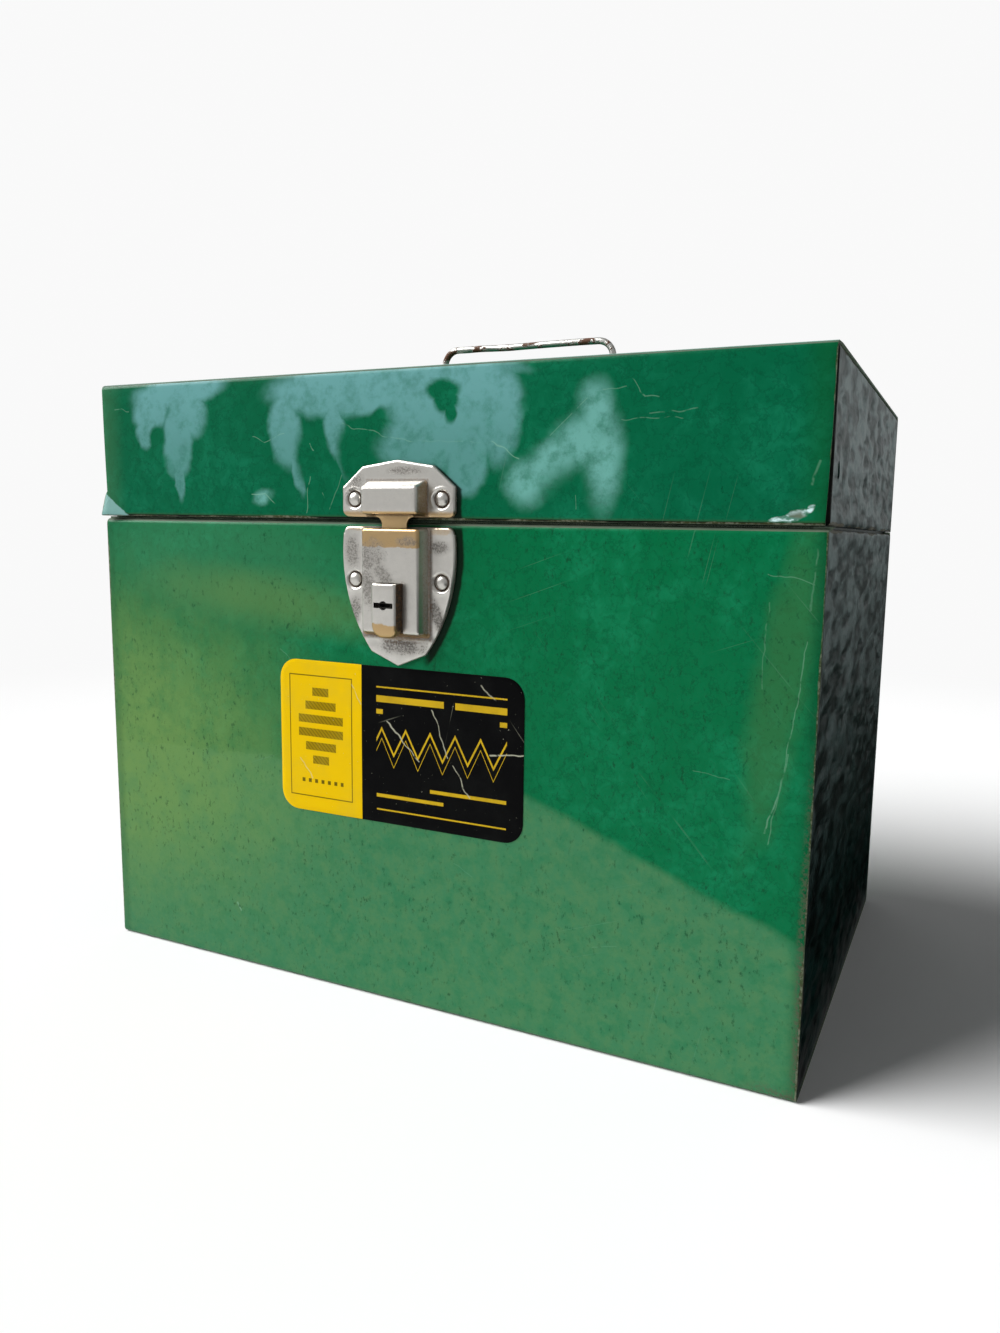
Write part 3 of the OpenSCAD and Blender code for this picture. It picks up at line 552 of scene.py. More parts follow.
def lid_marks(t, where, paint, box):
    """Painted reflections, highlights and shade, rubbed edges, the bent corner, the crease and the scratches of the
    lid
    """
    x, y, z = t.split(where)
    front = on_front(t, y)
    # Painted reflections of the sky: a blue-grey haze and a paler bloom
    there = bent(t, bent(t, where, 44, 8.5 * MM), 190, 2.2 * MM)
    torn = t.step(t.noise(where, 120, 6, 0.72), 0.30, 0.56, 0.60, 1.0)
    gaps = t.minus(1.0, blobs(t, there, LID_SKY_GAPS, 0.30, 0.35))
    reflected_sky = t.times(blobs(t, there, LID_REFLECTED_SKY, 0.24, 0.26), gaps, torn, front)
    hollow = t.minus(1.0, t.times(blobs(t, there, LID_SHEEN_GAP, 0.7, 0.5), 0.85))
    cloudy = t.step(t.noise(where, 160, 5, 0.7), 0.30, 0.60, 0.45, 1.0)
    pale_sheen = t.times(blobs(t, there, LID_PALE_SHEEN, 0.60, 0.5), hollow, cloudy, front)
    edge = t.step(x, 14 * MM - HALF_W, 1 * MM - HALF_W)
    paint = t.coat(paint, (0.06, 0.16, 0.07), 0.35, edge, front)
    shaded = t.step(x, HALF_W - 14 * MM, HALF_W - 2 * MM)
    paint = t.coat(paint, (0.002, 0.075, 0.018), 0.55, shaded, front)
    paint = t.mix(t.times(reflected_sky, t.step(z, LID_BOTTOM + 20 * MM, TOP, 0.62, 0.95)), paint, tuple(box.reflected_sky))
    paint = t.coat(paint, tuple(c * 0.9 + d for c, d in zip(box.reflected_sky, (0.03, 0.09, 0.05))), 0.85, pale_sheen)
    # Rubbed hem, painted shade in the seam, a painted highlight along the top fold and painted shade under the hem
    hem = t.step(z, LID_BOTTOM + 1.8 * MM, LID_BOTTOM + 0.6 * MM)
    paint = t.coat(paint, (0.036, 0.055, 0.018), 0.55, hem, front)
    seam = t.times(t.step(z, LID_BOTTOM + 1.0 * MM, LID_BOTTOM + 0.6 * MM),
                   t.step(y, FRONT + 3.6 * MM, FRONT + 3.0 * MM))
    paint = t.mix(seam, paint, (0.002, 0.003, 0.0015))
    fold = t.times(t.step(z, TOP - 1.2 * MM, TOP - 0.5 * MM), t.step(y, FRONT + 2.4 * MM, FRONT + 1.4 * MM))
    paint = t.coat(paint, (0.24, 0.42, 0.36), 0.60, fold)
    under = t.times(t.step(z, LID_BOTTOM + 0.9 * MM, LID_BOTTOM + 0.4 * MM),
                    t.step(y, FRONT + 0.2 * MM, FRONT + 0.5 * MM), t.step(y, FRONT + 4.0 * MM, FRONT + 3.0 * MM))
    paint = t.mix(under, paint, (0.003, 0.004, 0.002))
    # Bent corner with a painted reflection, and crease with painted highlights
    bend = t.plus(t.times(t.minus(x, BEND_AT[0]), BEND_OUT[0]), t.times(t.minus(z, BEND_AT[1]), BEND_OUT[1]),
                  t.middle(t.noise(where, 260, 3, 0.6), 1.6 * MM))
    flare = t.times(t.step(bend, 0.4 * MM, 0.9 * MM), t.step(y, FRONT + 0.2 * MM, FRONT - 0.1 * MM))
    paint = t.coat(paint, (0.21, 0.40, 0.38), 0.88, flare)
    streaks = t.step(t.noise(t.stretch(where, (1, 1, 3), (0, 0.5, 0)), 330, 3, 0.6), 0.40, 0.60, 0.15, 1.0)
    crease = t.times(blobs(t, where, LID_CREASE_HIGHLIGHT, 0.3, 0.9, 420.0), streaks, front)
    paint = t.mix(crease, paint, (0.55, 0.74, 0.74))
    paint = scratched(t, where, paint, front, LID_SCRATCHES)
    return lock_shadow(t, where, paint), t.times(reflected_sky, 0.04)


def body_marks(t, where, paint, box):
    """Chalky foot with a painted reflection, yellowish patches, worn right side, folds with a painted highlight and
    shade, and scratches of the body's front
    """
    x, y, z = t.split(where)
    front = on_front(t, y)
    # The chalky foot is partly faded paint and partly a painted reflection; its upper edge falls to the right of
    # the knee
    past_knee = t.minus(x, 45 * MM)
    uneven = t.middle(t.noise(where, 24, 4, 0.6), 10 * MM)
    slope = t.plus(z,
                   t.plus(t.times(t.most(past_knee, 0.0), 0.355), t.plus(t.times(t.size(past_knee), 0.02), uneven)))
    foot = t.times(t.step(slope, 98.5 * MM, 93.5 * MM), front)
    chalk_and_reflection = t.mix(t.step(t.noise(where, 210, 6, 0.70), 0.38, 0.62), tuple(box.faded_and_reflected),
                  tinted(box.faded_and_reflected, 1.42, 1.04, 0.98))
    fresh = t.step(t.noise(t.stretch(where, move=(0.4, 0, 0.2)), 130, 6, 0.70), 0.44, 0.64)
    chalk_and_reflection = t.coat(chalk_and_reflection, tinted(box.faded_and_reflected, 0.50, 0.86, 0.82), 0.6, fresh)
    paint = t.coat(paint, chalk_and_reflection, 0.90, foot)
    mottled = t.step(t.noise(where, 85, 6, 0.7), 0.30, 0.60, 0.62, 1.0)
    blot = t.times(blobs(t, where, (((-158, 92, 0), (92, 58)),), 0.75, 0.35, 55.0), front, mottled)
    paint = t.coat(paint, (0.135, 0.255, 0.070), 0.86, blot)
    for spot, soft, tear, amount, tone in (
            (((-95, 178, -0.1), (70, 24)), 0.6, 0.5, 0.28, (0.07, 0.24, 0.12)),
            (((-62, 160, -0.12), (48, 9)), 0.8, 0.5, 0.5, (0.10, 0.20, 0.055)),
            (((143, 140, -0.13), (8, 52)), 0.5, 1.1, 0.38, (0.045, 0.145, 0.045))):
        paint = t.coat(paint, tone, amount, blobs(t, where, (spot,), soft, tear, 55.0), front)
    sides = t.step(t.size(x), HALF_W - 6 * MM, HALF_W - 1 * MM)
    paint = t.coat(paint, (0.004, 0.060, 0.020), 0.4, sides, front)
    rub = t.times(blobs(t, where, BODY_RUB, 0.8, 1.0, 200.0), front)
    grit = t.step(t.noise(where, 900, 4, 0.7), 0.42, 0.56)
    paint = t.coat(paint, (0.088, 0.088, 0.058), 0.8, rub, grit)
    # Painted highlight along the top fold, painted shade on the shoulder behind it
    fold = t.times(t.step(z, BODY_TOP - 0.9 * MM, BODY_TOP - 0.5 * MM),
                   t.step(y, FRONT + 1.9 * MM, FRONT + 1.5 * MM))
    paint = t.coat(paint, (0.30, 0.42, 0.35), 0.55, fold)
    sill = t.times(t.step(z, BODY_TOP - 0.6 * MM, BODY_TOP - 0.3 * MM),
                   t.step(y, FRONT + 1.6 * MM, FRONT + 2.0 * MM), t.step(y, FRONT + 6.0 * MM, FRONT + 4.0 * MM))
    paint = t.coat(paint, (0.004, 0.005, 0.003), 0.95, sill)
    paint = scratched(t, where, paint, front, BODY_SCRATCHES)
    specks = t.step(t.noise(t.stretch(where, (1.0, 1, 0.6)), 560, 5, 0.70), 0.55, 0.68)
    thick = t.step(t.noise(where, 45, 4, 0.65), 0.36, 0.60, 0.25, 1.0)
    paint = t.coat(paint, (0.004, 0.040, 0.016), 0.62, specks, thick, front)
    return lock_shadow(t, where, paint), t.times(foot, 0.05)


def scratched(t, where, paint, front, lines):
    return t.coat(paint, (0.22, 0.42, 0.30), 0.62, drawn_lines(t, where, lines), front)


def lock_shadow(t, where, paint):
    """Painted shadow: near-black along the right-hand sides of the two plates"""
    x, y, z = t.split(where)
    blur = t.middle(t.noise(where, 260, 3, 0.6), 1.2 * MM)
    arc_gap = t.minus(t.far(t.minus(x, LOCK_X + SHIELD_HALF - SHIELD_ROUND), t.minus(z, SHIELD_WIDEST_Z)),
                      SHIELD_ROUND)
    lower = t.times(t.step(t.plus(arc_gap, blur), 3.6 * MM, 2.4 * MM), above(t, x, LOCK_X + 12 * MM, 2 * MM),
                    t.times(below(t, z, SHIELD_HI.z, 1 * MM), above(t, z, SHIELD_LO.z + 1 * MM, 2 * MM)))
    corner = t.times(t.most(t.minus(z, STRIKE_LO.z + 10.5 * MM), 0.0), 1.25)
    side = t.plus(t.minus(x, LOCK_X + 25 * MM), corner, blur)
    upper = t.times(t.step(side, 2.8 * MM, 1.6 * MM), above(t, x, LOCK_X + 16 * MM, 2 * MM),
                    t.times(above(t, z, LID_BOTTOM, 0.2 * MM), below(t, z, STRIKE_HI.z, 2 * MM)))
    painted_shadow = t.times(t.most(lower, upper), t.step(y, FRONT + 2 * MM, FRONT + 1 * MM))
    return t.coat(paint, (0.002, 0.004, 0.002), 0.93, painted_shadow)


def plain_marks(t, where, paint, box):
    return paint, 0.0


def rim_marks(t, where, paint, box):
    """Painted shade on the part of the rim that stands in the seam"""
    z = t.split(where)[2]
    seam = t.times(t.step(z, BODY_TOP - 1.2 * MM, BODY_TOP - 0.2 * MM),
                   t.step(z, LID_BOTTOM + 1.6 * MM, LID_BOTTOM + 0.4 * MM))
    return t.coat(paint, (0.004, 0.005, 0.003), 0.95, seam), 0.0


def end_enamel(name, lo, hi):
    """Dark enamel of the end panels with a painted reflection: at a grazing view its ripples are painted pale and
    dark, brighter towards the top
    """
    made, t, shader, where = material(name)
    x, y, z = t.split(where)
    drops = t.noise(t.stretch(where, (1, 0.36, 1)), 170, 2, 0.45)
    ridge = t.step(drops, 0.37, 0.63)
    # Painted reflection: brighter towards the top, darker towards the bottom
    rise = t.times(t.step(z, 0.010, 0.275), t.step(z, -0.02, 0.20, 0.45, 1.0))
    facing = t.tree.nodes.new("ShaderNodeLayerWeight")
    facing.inputs["Blend"].default_value = 0.5
    grazing = t.step(facing.outputs["Facing"], 0.48, 0.78)
    pale = t.mix(rise, (0.0015, 0.018, 0.015), (0.215, 0.270, 0.268))
    deep = t.mix(rise, (0.0004, 0.0024, 0.0018), (0.028, 0.044, 0.042))
    quiet = t.mix(ridge, (0.014, 0.030, 0.025), (0.030, 0.058, 0.050))
    paint = t.mix(grazing, quiet, t.mix(ridge, deep, pale))
    # Dark teal tint towards the bottom, part of the painted reflection
    tint = t.step(t.noise(where, 30, 3, 0.5), 0.45, 0.65)
    paint = t.coat(paint, (0.004, 0.022, 0.018), 0.5, tint, t.minus(1.0, rise))
    worn = worn_edges(t, where, lo, hi, 0.9 * MM)
    paint = t.coat(paint, (0.14, 0.12, 0.085), 0.7, worn)
    scuff = t.group("Scuffs", position=t.stretch(where, turn=(0, 0, math.pi / 2)), amount=0.5)
    paint = t.coat(paint, (0.16, 0.18, 0.17), 0.25, scuff)
    # Painted shade in the groove along the front edge of the lid's end panels
    groove = t.times(t.step(y, FRONT + 3.0 * MM, FRONT + 2.2 * MM),
                     t.step(z, LID_BOTTOM - 0.5 * MM, LID_BOTTOM))
    t.feed(shader.inputs["Base Color"], t.mix(groove, paint, (0.0015, 0.002, 0.001)))
    t.feed(shader.inputs["Roughness"], t.plus(0.26, t.times(drops, 0.14), t.times(worn, 0.3)))
    shader.inputs["Specular IOR Level"].default_value = 0.12
    bump(t, shader, t.plus(drops, t.times(t.noise(where, 420, 3, 0.6), 0.06)), 1.6 * MM, 0.9)
    return made


def nickel_plate(name, worn=None, dirt_and_shade=None, smudged=None, flat_worn=0.22):
    """Nickel plate; three masks give brass where worn, dirt and painted shade, and smudges"""
    lock = option("deed_lock")
    made, t, shader, where = material(name)
    rubbed = t.step(t.noise(where, 110, 4, 0.6), 0.58, 0.80, 0.0, flat_worn)
    parts = t.group("Worn plating", out=None, position=where, colour=tuple(lock.nickel),
                    shade=tinted(lock.nickel, 0.72), brass=tuple(lock.brass),
                    smudge=smudged(t, where) if smudged else 0.20,
                    worn=t.most(worn(t, where), rubbed) if worn else rubbed,
                    dirt=dirt_and_shade(t, where) if dirt_and_shade else 0.0)
    for socket, part in (("Base Color", 0), ("Roughness", 1), ("Metallic", 3)):
        t.feed(shader.inputs[socket], parts[part])
    bump(t, shader, parts[2], 0.12 * MM, 0.5)
    return made


def hollows(t, where, up):
    """Rings of dirt and painted shade round the two rivets at one height"""
    x, y, z = t.split(where)
    inner, outer = 2.7 * MM, 4.1 * MM
    rings = []
    for across in (-RIVET_GAP, RIVET_GAP):
        r = t.far(t.minus(x, LOCK_X + across), t.minus(z, up))
        rings.append(t.times(t.step(r, outer, inner), t.step(r, inner * 0.9, inner), 0.95))
    return t.most(*rings)


def beside(t, where, half, low, high, reach, reach_low=None):
    """Near the outside of a rectangle on the front, round the lock's middle"""
    x, y, z = t.split(where)
    dx = t.most(t.minus(t.size(t.minus(x, LOCK_X)), half), 0.0)
    down = t.most(t.times(t.minus(low, z), reach / (reach_low or reach)), 0.0)
    return t.step(t.far(dx, t.most(t.most(t.minus(z, high), 0.0), down)), reach, reach * 0.1)


def on_lock(t, where, spots, soft=0.5, tear=0.9, grain=260.0):
    """Blobs given from the lock's middle in millimetres"""
    middle = LOCK_X / MM
    return blobs(t, where, [((px + middle, pz, turn), size) for (px, pz, turn), size in spots], soft, tear,
                 grain)


def right_edge_shade(t, where):
    """Painted shade along the thin edge of a plate, right of the lock's middle"""
    x, y, z = t.split(where)
    return t.times(t.step(y, FRONT - 1.1 * MM, FRONT - 0.7 * MM), above(t, x, LOCK_X, 3 * MM), 0.6)


def ragged(t, where, z):
    """Height with a ragged offset, for the edge of worn plate"""
    return t.plus(z, t.middle(t.noise(where, 300, 3, 0.6), 3 * MM))


def case_band(t, where):
    """Brass at the top of the case's face, along its bottom edge and on its sides"""
    x, y, z = t.split(where)
    up = ragged(t, where, z)
    top = t.times(above(t, up, CASE_HI.z - 7.4 * MM, 0.5 * MM), below(t, y, CASE_LO.y + 1 * MM, 0.4 * MM),
                  0.85)
    foot = t.times(below(t, up, CASE_LO.z + 1.7 * MM, 0.6 * MM), 0.85)
    return t.most(top, foot, t.times(above(t, t.size(t.minus(x, LOCK_X)), 12.2 * MM, 0.5 * MM), 0.42))


def case_shade_and_dirt(t, where):
    """Dirt and painted shade beside the thumb piece, on the flange and under the top edge; painted shade on the
    right-hand wall
    """
    x, y, z = t.split(where)
    across = t.minus(x, LOCK_X)
    slot = CASE_LO.z, THUMB_HI.z - 6.6 * MM
    flange = t.times(above(t, y, CASE_HI.y - 0.6 * MM, 0.3 * MM), 0.62)
    close = t.times(beside(t, where, 6 * MM, *slot, 1.1 * MM), below(t, y, CASE_LO.y + 1.2 * MM, 0.4 * MM),
                    0.5)
    wall = t.times(above(t, across, 13.1 * MM, 0.5 * MM), t.step(z, CASE_HI.z, CASE_LO.z, 0.50, 0.70), 0.8)
    lines = t.times(above(t, y, CASE_LO.y + 3 * MM, 0.5 * MM), above(t, across, 10 * MM, 0.5 * MM), 0.5)
    right = t.times(beside(t, where, 6 * MM, *slot, 3.4 * MM), above(t, across, 5 * MM, 0.5 * MM), 0.46)
    return t.most(flange, close, wall, lines, right)


def case_smudge(t, where):
    return t.most(on_lock(t, where, CASE_SMUDGES, 0.6, 1.3, 320.0), 0.25)


def plate_shade_and_dirt(t, where):
    """Dirt and painted shade in the hollows round the rivets and where the case stands on the lower plate; painted
    shade along the right-hand edge
    """
    side = t.times(beside(t, where, 15 * MM, CASE_LO.z, CASE_HI.z + 10 * MM, 2 * MM, 3.4 * MM), 0.66)
    tint = t.times(on_lock(t, where, PLATE_TINTS), 0.55)
    return t.most(hollows(t, where, LATCH_RIVET_Z), side, tint, right_edge_shade(t, where))


def plate_smudge(t, where):
    return on_lock(t, where, PLATE_SMUDGES)


def plate_worn(t, where):
    return t.times(on_lock(t, where, PLATE_WORN), 0.5)


def housing_band(t, where):
    """Brass along the bottom of the housing and on its right-hand wall"""
    x, y, z = t.split(where)
    foot = t.times(below(t, z, HOUSING_LO.z + 1.9 * MM, 1.1 * MM), 0.8)
    return t.most(foot, t.times(above(t, t.minus(x, LOCK_X), 12.2 * MM, 0.4 * MM), 0.55))


def housing_shade_and_dirt(t, where):
    # Painted shade on the right-hand wall, dirt and painted shade along the flange
    x, y, z = t.split(where)
    wall = t.times(above(t, x, LOCK_X + 12 * MM, 0.4 * MM), 0.48)
    return t.most(wall, t.times(above(t, y, HOUSING_HI.y - 0.7 * MM, 0.5 * MM), 0.60))


def strike_band(t, where):
    return t.times(below(t, t.split(where)[2], STRIKE_LO.z + 2.8 * MM, 1.6 * MM), 0.62)


def strike_shade_and_dirt(t, where):
    # Dirt and painted shade round the rivets and beside the housing, painted shade along the right-hand edge
    side = t.times(beside(t, where, HOUSING_HALF, STRIKE_LO.z, HOUSING_HI.z, 1.6 * MM), 0.62)
    return t.most(hollows(t, where, STRIKE_RIVET_Z), side, right_edge_shade(t, where))


def strike_smudge(t, where):
    return t.most(on_lock(t, where, STRIKE_SMUDGES), 0.2)


def tongue_band(t, where):
    return t.times(above(t, t.split(where)[2], BODY_TOP - 3.5 * MM, 0.8 * MM), 0.9)


def tongue_shade_and_dirt(t, where):
    # Dirt and painted shade where the tongue goes up into the housing
    return t.times(above(t, t.split(where)[2], HOUSING_LO.z - 0.4 * MM, 1 * MM), 0.6)


def thumb_band(t, where):
    up = ragged(t, where, t.split(where)[2])
    return t.times(below(t, up, THUMB_LO.z + 5.6 * MM, 1.2 * MM), 0.85)


def thumb_shade_and_dirt(t, where):
    """Painted shade on the right-hand wall, dirt and painted shade inside the hood"""
    x, y, z = t.split(where)
    wall = t.times(above(t, t.minus(x, LOCK_X), 5.2 * MM, 0.3 * MM), 0.85)
    return t.most(wall, t.times(above(t, y, FRONT - 8 * MM, 1.2 * MM), 0.6))


# Worn, tinted and smudged spots of the lock: (across from its middle, up, turn), (half width, half height)
CASE_SMUDGES = (((-8.5, 179, -0.5), (6, 7)), ((-3.5, 173, -0.7), (6, 3.4)), ((-9.5, 168, 0.2), (4, 8)),
                ((8, 185, 0), (5, 2)))
PLATE_TINTS = (((2, 147.2, 0), (13, 1.6)), ((13, 151, 0.9), (4, 1.8)))
PLATE_SMUDGES = (((-20.5, 181, 0.1), (3.6, 7)), ((-20, 157, -0.35), (3.2, 7)), ((2, 145, 0), (11, 3)),
                 ((18, 157, 0.35), (2.4, 8)), ((18.5, 183, 0), (4, 2.6)))
PLATE_WORN = (((-18, 190, 0), (7, 1.8)), ((19, 189, 0), (6, 2.0)), ((0, 149, 0), (14, 2)))
STRIKE_SMUDGES = (((-19, 206, 0.8), (5, 2.4)), ((4, 211, 0), (8, 1.6)))


def steel(name, colour, rough, cut, rust_colour=(0.10, 0.042, 0.018), size=150.0):
    """Plated or plain steel with rust where cut says"""
    made, t, shader, where = material(name)
    rust, grain = t.group("Rust", out=None, position=where, size=size, cut=cut)
    tint = t.mix(t.step(t.noise(where, 200, 4, 0.6), 0.35, 0.7), colour, tinted(colour, 0.72))
    t.feed(shader.inputs["Base Color"], t.mix(rust, tint, rust_colour))
    t.feed(shader.inputs["Roughness"],
           t.plus(rough, t.times(rust, 0.45), t.times(t.noise(where, 500, 3, 0.6), 0.08)))
    t.feed(shader.inputs["Metallic"], t.minus(1.0, t.times(rust, 0.85)))
    bump(t, shader, t.plus(t.times(rust, t.plus(0.4, grain)), t.times(t.noise(where, 900, 3, 0.6), 0.1)),
         0.2 * MM, 0.6)
    return made


def label_print(name):
    """Yellow block with a stack of bars, black field with rules and a zigzag band, scratched"""
    label = option("deed_label")
    made, t, shader, where = material(name)
    x, y, z = t.split(where)
    u = t.minus(t.math("DIVIDE", x, MM), LABEL_LO.x / MM)
    v = t.minus(t.math("DIVIDE", z, MM), LABEL_LO.z / MM)
    wide, tall = (LABEL_HI.x - LABEL_LO.x) / MM, (LABEL_HI.z - LABEL_LO.z) / MM
    split, blur, margin = 40.0, 0.12, 7

    def within(value, a, b):
        return t.times(t.step(value, a - blur, a + blur), t.step(value, b + blur, b - blur))

    def frame_line(x0, y0, x1, y1, thick):
        outer = t.times(within(u, x0, x1), within(v, y0, y1))
        inner = t.times(within(u, x0 + thick, x1 - thick), within(v, y0 + thick, y1 - thick))
        return t.math("SUBTRACT", outer, inner, clamp=True)

    def bars(x0, x1, *places):
        """Level bars given by the height of their foot as a share of the label's and their thickness"""
        return t.times(within(u, x0, x1),
                       t.most(*[within(v, tall * at, tall * at + thick) for at, thick in places]))

    def saw(low, high, pitch, thick):
        """A zigzag line between two heights"""
        rise = t.minus(v,
                       t.plus(low, t.times(t.math("PINGPONG", u, pitch / 2), (high - low - thick) * 2 / pitch)))
        return t.times(t.step(rise, -0.1, 0.1), t.step(rise, thick + 0.1, thick - 0.1))

    black_field = t.step(u, split - blur, split + blur)
    # Yellow block: a stepped stack of olive bars in a thin frame, with a row of dots under it
    olive = t.most(*[t.times(within(u, 20.0 - w, 20.0 + w), within(v, 20.0 + k * 5.6, 23.4 + k * 5.6))
                     for k, w in enumerate((4.0, 7.5, 11.0, 11.0, 7.5, 4.0))])
    fine = t.step(t.math("PINGPONG", t.plus(u, v), 0.9), 0.55, 0.75)
    dotted = t.times(within(v, 12.0, 13.6), within(u, 9.0, 31.0),
                     t.step(t.math("PINGPONG", u, 1.6), 0.75, 0.95))
    dark_marks = t.most(t.times(olive, t.plus(0.62, t.times(fine, 0.2))), t.times(dotted, 0.85),
                        t.times(frame_line(4.5, 6.0, 35.5, tall - 6.0, 0.5), 0.8))
    ink = t.mix(dark_marks, tuple(label.yellow), (0.030, 0.026, 0.003))
    # Black field: a band of zigzag lines between short and long rules
    first, last = split + margin, wide - margin
    zigzag = t.times(within(u, first, last), t.most(saw(tall * 0.43, tall * 0.62, 11.0, 1.5),
                                                    saw(tall * 0.36, tall * 0.55, 11.0, 0.5)))
    ends = t.times(t.most(within(u, first, first + 3), within(u, last - 3, last)),
                   within(v, tall * 0.70, tall * 0.73))
    gold = t.most(zigzag, bars(first, last, (0.865, 0.6), (0.08, 0.6)),
                  bars(first, wide - 34, (0.775, 2.6), (0.165, 1.4)),
                  bars(wide - 29, last, (0.775, 2.6)), bars(wide - 40, last, (0.235, 1.4)), ends)
    ink = t.mix(black_field, ink,
                t.mix(gold, tuple(label.black), tuple(c * 0.72 + 0.012 for c in label.yellow)))
    # Scratches, rubbed spots and a thinner print in places
    rubbed = t.mix(black_field, (0.42, 0.33, 0.04), (0.012, 0.013, 0.012))
    ink = t.coat(ink, rubbed, 0.22, t.step(t.noise(where, 70, 4, 0.6), 0.40, 0.75))
    chips = t.step(t.noise(where, 850, 3, 0.65), 0.715, 0.74)
    bare = t.most(drawn_lines(t, where, LABEL_SCRATCHES), t.times(chips, 0.6),
                  t.times(t.group("Scuffs", position=where, amount=1.0), 0.5))
    t.feed(shader.inputs["Base Color"], t.mix(bare, ink, (0.42, 0.42, 0.32)))
    t.feed(shader.inputs["Roughness"], t.plus(0.24, t.times(t.noise(where, 150, 4, 0.6), 0.14)))
    shader.inputs["Specular IOR Level"].default_value = 0.04
    bump(t, shader, t.minus(t.times(t.noise(where, 300, 3, 0.6), 0.2), bare), 0.15 * MM, 0.5)
    return made


LABEL_SCRATCHES = (
    ((-8, 115), (2, 105), 0.55, 0.9), ((2, 105), (6, 100), 0.5, 0.8), ((12, 121), (20, 104), 0.45, 0.8),
    ((38, 107), (52, 108.5), 0.6, 0.9), ((22, 101), (29, 89), 0.5, 0.8), ((-25, 128), (-20, 121), 0.4, 0.6),
    ((34, 133), (40, 127), 0.5, 0.7), ((-50, 96), (-44, 88), 0.4, 0.5),
)


# Meshes

def bake(obj):
    """Replaces an object's mesh by the result of its modifiers"""
    bpy.context.view_layer.update()
    evaluated = obj.evaluated_get(bpy.context.evaluated_depsgraph_get())
    data = bpy.data.meshes.new_from_object(evaluated)
    obj.modifiers.clear()
    old = obj.data
    obj.data = data
    bpy.data.meshes.remove(old)
    data.name = obj.name
    return obj


def shade(obj, angle=32):
    """Smooth faces, with sharp edges where faces meet at more than the angle"""
    mesh = bmesh.new()
    mesh.from_mesh(obj.data)
    limit = math.radians(angle)
    for face in mesh.faces:
        face.smooth = True
    for edge in mesh.edges:
        edge.smooth = not (len(edge.link_faces) == 2 and edge.calc_face_angle(0) > limit)
    mesh.to_mesh(obj.data)
    mesh.free()
    return obj


def mesh_object(name, points, faces):
    data = bpy.data.meshes.new(name)
    data.from_pydata([tuple(p) for p in points], [], faces)
    data.validate()
    obj = bpy.data.objects.new(name, data)
    bpy.context.scene.collection.objects.link(obj)
    mesh = bmesh.new()
    mesh.from_mesh(data)
    bmesh.ops.remove_doubles(mesh, verts=mesh.verts, dist=1e-7)
    bmesh.ops.recalc_face_normals(mesh, faces=mesh.faces)
    mesh.to_mesh(data)
    mesh.free()
    return obj


def grid(rows, skip=None, loop=False):
    """Points and quads of a grid of rows; skip leaves a cell out, loop closes each row"""
    n = len(rows[0])
    points = [p for row in rows for p in row]
    faces = []
    for i in range(len(rows) - 1):
        for j in range(n if loop else n - 1):
            if skip and skip(i, j):
                continue
            k = (j + 1) % n
            faces.append((i * n + j, i * n + k, (i + 1) * n + k, (i + 1) * n + j))
    return points, faces


def thicken(obj, thickness, edge=0.16 * MM):
    """Gives a single skin its thickness on its inner side, and softens its cut edges"""
    solid = obj.modifiers.new("thickness", "SOLIDIFY")
    solid.thickness = thickness
    solid.offset = -1
    solid.use_even_offset = True
    solid.use_quality_normals = True
    soft = obj.modifiers.new("edge", "BEVEL")
    soft.width = edge
    soft.segments = 2
    soft.limit_method = "ANGLE"
    soft.angle_limit = math.radians(50)
    return bake(obj)


def cut(obj, *cutters):
    """Cuts the cutters out of a piece and removes them"""
    for cutter in cutters:
        tool = obj.modifiers.new("cut", "BOOLEAN")
        tool.operation = "DIFFERENCE"
        tool.solver = "EXACT"
        tool.object = cutter
    bake(obj)
    for cutter in cutters:
        data = cutter.data
        bpy.data.objects.remove(cutter)
        bpy.data.meshes.remove(data)
    return obj


def prism(outline, low, high, frame_of):
    """A closed prism over a 2D outline between two depths"""
    n = len(outline)
    points = [frame_of(u, v, d) for d in (low, high) for u, v in outline]
    faces = [tuple(range(n)), tuple(range(2 * n - 1, n - 1, -1))]
    faces += [(i, (i + 1) % n, n + (i + 1) % n, n + i) for i in range(n)]
    return mesh_object("cutter", points, faces)


def front_point(across, up, out):
    """A point on the front, out from it, with across measured from the lock's middle"""
    return Vector((LOCK_X + across, FRONT - out, up))


def place(obj, body, slot_name, look, *nodes, angle=32):
    """Shades a finished piece, gives it its material, and puts it on its body"""
    shade(obj, angle)
    obj.data.materials.clear()
    obj.data.materials.append(look)
    if nodes:
        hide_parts(*nodes)
    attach(obj, body)
    return obj


def dress(node, look):
    """Keeps a frame node's own shape and gives it a material"""
    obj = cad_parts[node]
    for place_ in obj.material_slots:
        place_.material = look
    if not obj.material_slots:
        obj.data.materials.append(look)
    return obj


def lie_flat(obj, reach):
    """Lays the lowest part of a leaf spring against the wall its seat touches"""
    low = min(v.co.z for v in obj.data.vertices)
    tip = [v for v in obj.data.vertices if v.co.z < low + reach]
    back = min(v.co.y for v in tip) - min(v.co.y for v in obj.data.vertices)
    for v in tip:
        v.co.y -= back


